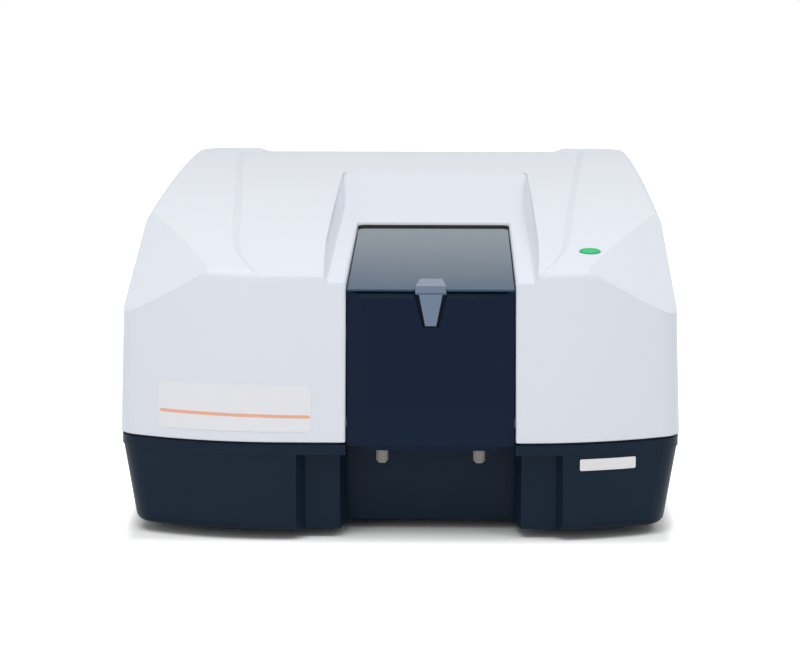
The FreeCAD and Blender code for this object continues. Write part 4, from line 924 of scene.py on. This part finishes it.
@dataclass
class Optics:
    """Optical bench and all that stands on it."""

    def build(self, shop: Workshop) -> None:
        """Dresses the optics.

        Args:
            shop: nodes and materials.
        """
        shop.dress(CAST, "optical_bench", "monochromator_casting")
        shop.dress(RUBBER, "bench_mounts")
        shop.dress(ZINC, "bench_screws", "lamp_housing")
        shop.dress(BULB, "deuterium_lamp", "halogen_lamp", "photomultiplier_tube")
        shop.dress(MIRROR, "source_mirror", "collimating_mirrors", "sector_mirror", "fold_mirror")
        shop.dress(MIRROR, "detector_mirrors")
        shop.dress(MACHINED, "source_mirror_base", "monochromator_cover", "grating_turret")
        shop.dress(GRATING, "grating")
        shop.dress(ANODISED, "filter_wheel", "detector_housing", "entrance_slit", "exit_slit")
        shop.dress(BLACK_PAINT, "filter_wheel_motor", "sector_mirror_motor")


@dataclass
class Electronics:
    """Power supply and main board."""

    def build(self, shop: Workshop) -> None:
        """Dresses the electronics."""
        shop.dress(ZINC, "power_supply")
        shop.dress(BOARD, "main_board")


@dataclass(frozen=True)
class Lamp:
    """Soft square lamp.

    Attributes:
        name: name of the lamp.
        place: where it hangs.
        power: its power in watts.
        size: side of its square.
        aim: point that it faces.
    """

    name: str
    place: Place
    power: float
    size: float = 1.0
    aim: Place = (0.0, -0.1, 0.15)

    def hang(self) -> None:
        """Adds the lamp to the scene."""
        data = bpy.data.lights.new(self.name, "AREA")
        data.size = self.size
        data.energy = self.power
        lamp = add_object(self.name, data)
        lamp.location = self.place
        towards = Vector(self.aim) - Vector(self.place)
        lamp.rotation_euler = towards.to_track_quat("-Z", "Y").to_euler()


@dataclass
class Studio:
    """Pale floor, soft light and the camera.

    Attributes:
        reach: half size of the floor.
        pale: colour of the floor.
        shaded: half width and half depth of the part of the floor that keeps the full shadow.
        fade: how fast the floor's own glow rises outside it along each axis.
        white: how far outside it the floor is plain white.
        ambient: strength of the even light from all round.
        lamps: the lamps.
        lens: focal length.
        sensor: width of the sensor.
        stand: place of the camera.
        down: how far the camera looks down, in degrees.
        left: how far it is turned to the left, in degrees.
    """

    reach: float = 6.0
    pale: Colour = (0.93, 0.93, 0.93)
    shaded: Place = (0.215, 0.285, 0.0)
    fade: Place = (2.0, 1.0, 1.0)
    white: float = 0.06
    ambient: float = 0.54
    lamps: tuple[Lamp, ...] = (
        Lamp("key", (-0.35, -0.9, 1.7), 12.0),
        Lamp("right", (1.2, -0.8, 1.9), 10.5),
        Lamp("front", (-1.4, -2.2, 0.8), 5.0),
    )
    lens: float = 100.74
    sensor: float = 36.0
    stand: Place = (0.0426, -2.0647, 0.4764)
    down: float = 9.571
    left: float = 1.336

    def world(self) -> None:
        """White surround that lights evenly at a lower strength."""
        world = bpy.data.worlds.new("surround")
        bpy.context.scene.world = world
        world.use_nodes = True
        tree = Tree(world.node_tree)
        back = world.node_tree.nodes["Background"]
        values = {"Value": tree.seen(), "To Min": self.ambient, "To Max": 1.0}
        tree.feed(back.inputs["Color"], (1.0, 1.0, 1.0))
        tree.feed(back.inputs["Strength"], tree.node("ShaderNodeMapRange", {}, values))

    def glow(self, shade: Shade) -> Signal:
        """Rise of the floor's own glow outside the part that keeps the full shadow.

        Args:
            shade: material of the floor.

        Returns:
            0 inside that part and 1 where the floor is plain white.
        """
        outside = shade.place
        for operation, value in (
            ("ABSOLUTE", None), ("SUBTRACT", self.shaded), ("MAXIMUM", (0.0, 0.0, 0.0)),
            ("MULTIPLY", self.fade),
        ):
            values = {0: outside} if value is None else {0: outside, 1: value}
            outside = shade.node("ShaderNodeVectorMath", {"operation": operation}, values)
        away = shade.node("ShaderNodeVectorMath", {"operation": "LENGTH"}, {0: outside}, "Value")
        values = {"Value": away, "From Min": 0.0, "From Max": self.white}
        return shade.node("ShaderNodeMapRange", {"interpolation_type": "SMOOTHSTEP"}, values)

    def floor(self) -> None:
        """Pale floor that shows white and keeps the soft shadow."""
        shade = Shade("studio_floor")
        matt = shade.node("ShaderNodeBsdfDiffuse", {}, {"Color": self.pale})
        light = shade.node("ShaderNodeEmission", {}, {"Strength": self.glow(shade) * shade.seen()})
        shade.show(shade.node("ShaderNodeAddShader", {}, {0: matt, 1: light}))
        mesh = bmesh.new()
        bmesh.ops.create_grid(mesh, x_segments=1, y_segments=1, size=self.reach)
        ground = add_mesh("studio_floor", mesh, shade.material)

    def camera(self) -> None:
        """Camera at the photograph's angle."""
        data = bpy.data.cameras.new("camera")
        data.lens = self.lens
        data.sensor_width = self.sensor
        camera = add_object("camera", data)
        camera.location = self.stand
        camera.rotation_euler = (math.radians(90 - self.down), 0.0, math.radians(self.left))
        bpy.context.scene.camera = camera

    def build(self) -> None:
        """Sets up floor, surround, lamps and camera."""
        bpy.context.scene.view_settings.view_transform = "Standard"
        self.world()
        self.floor()
        for lamp in self.lamps:
            lamp.hang()
        self.camera()
        log.info("studio: ready")


def main() -> None:
    """Builds every sub-assembly in order, then the studio."""
    logging.basicConfig(level=logging.INFO, format="%(message)s")
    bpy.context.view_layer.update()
    shop = Workshop(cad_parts)
    for part in (
        Housing(), RearPanel(), SampleCompartment(), Lid(), StartButton(), Optics(), Electronics(),
    ):
        part.build(shop)
    Studio().build()


if __name__ == "__main__":
    main()
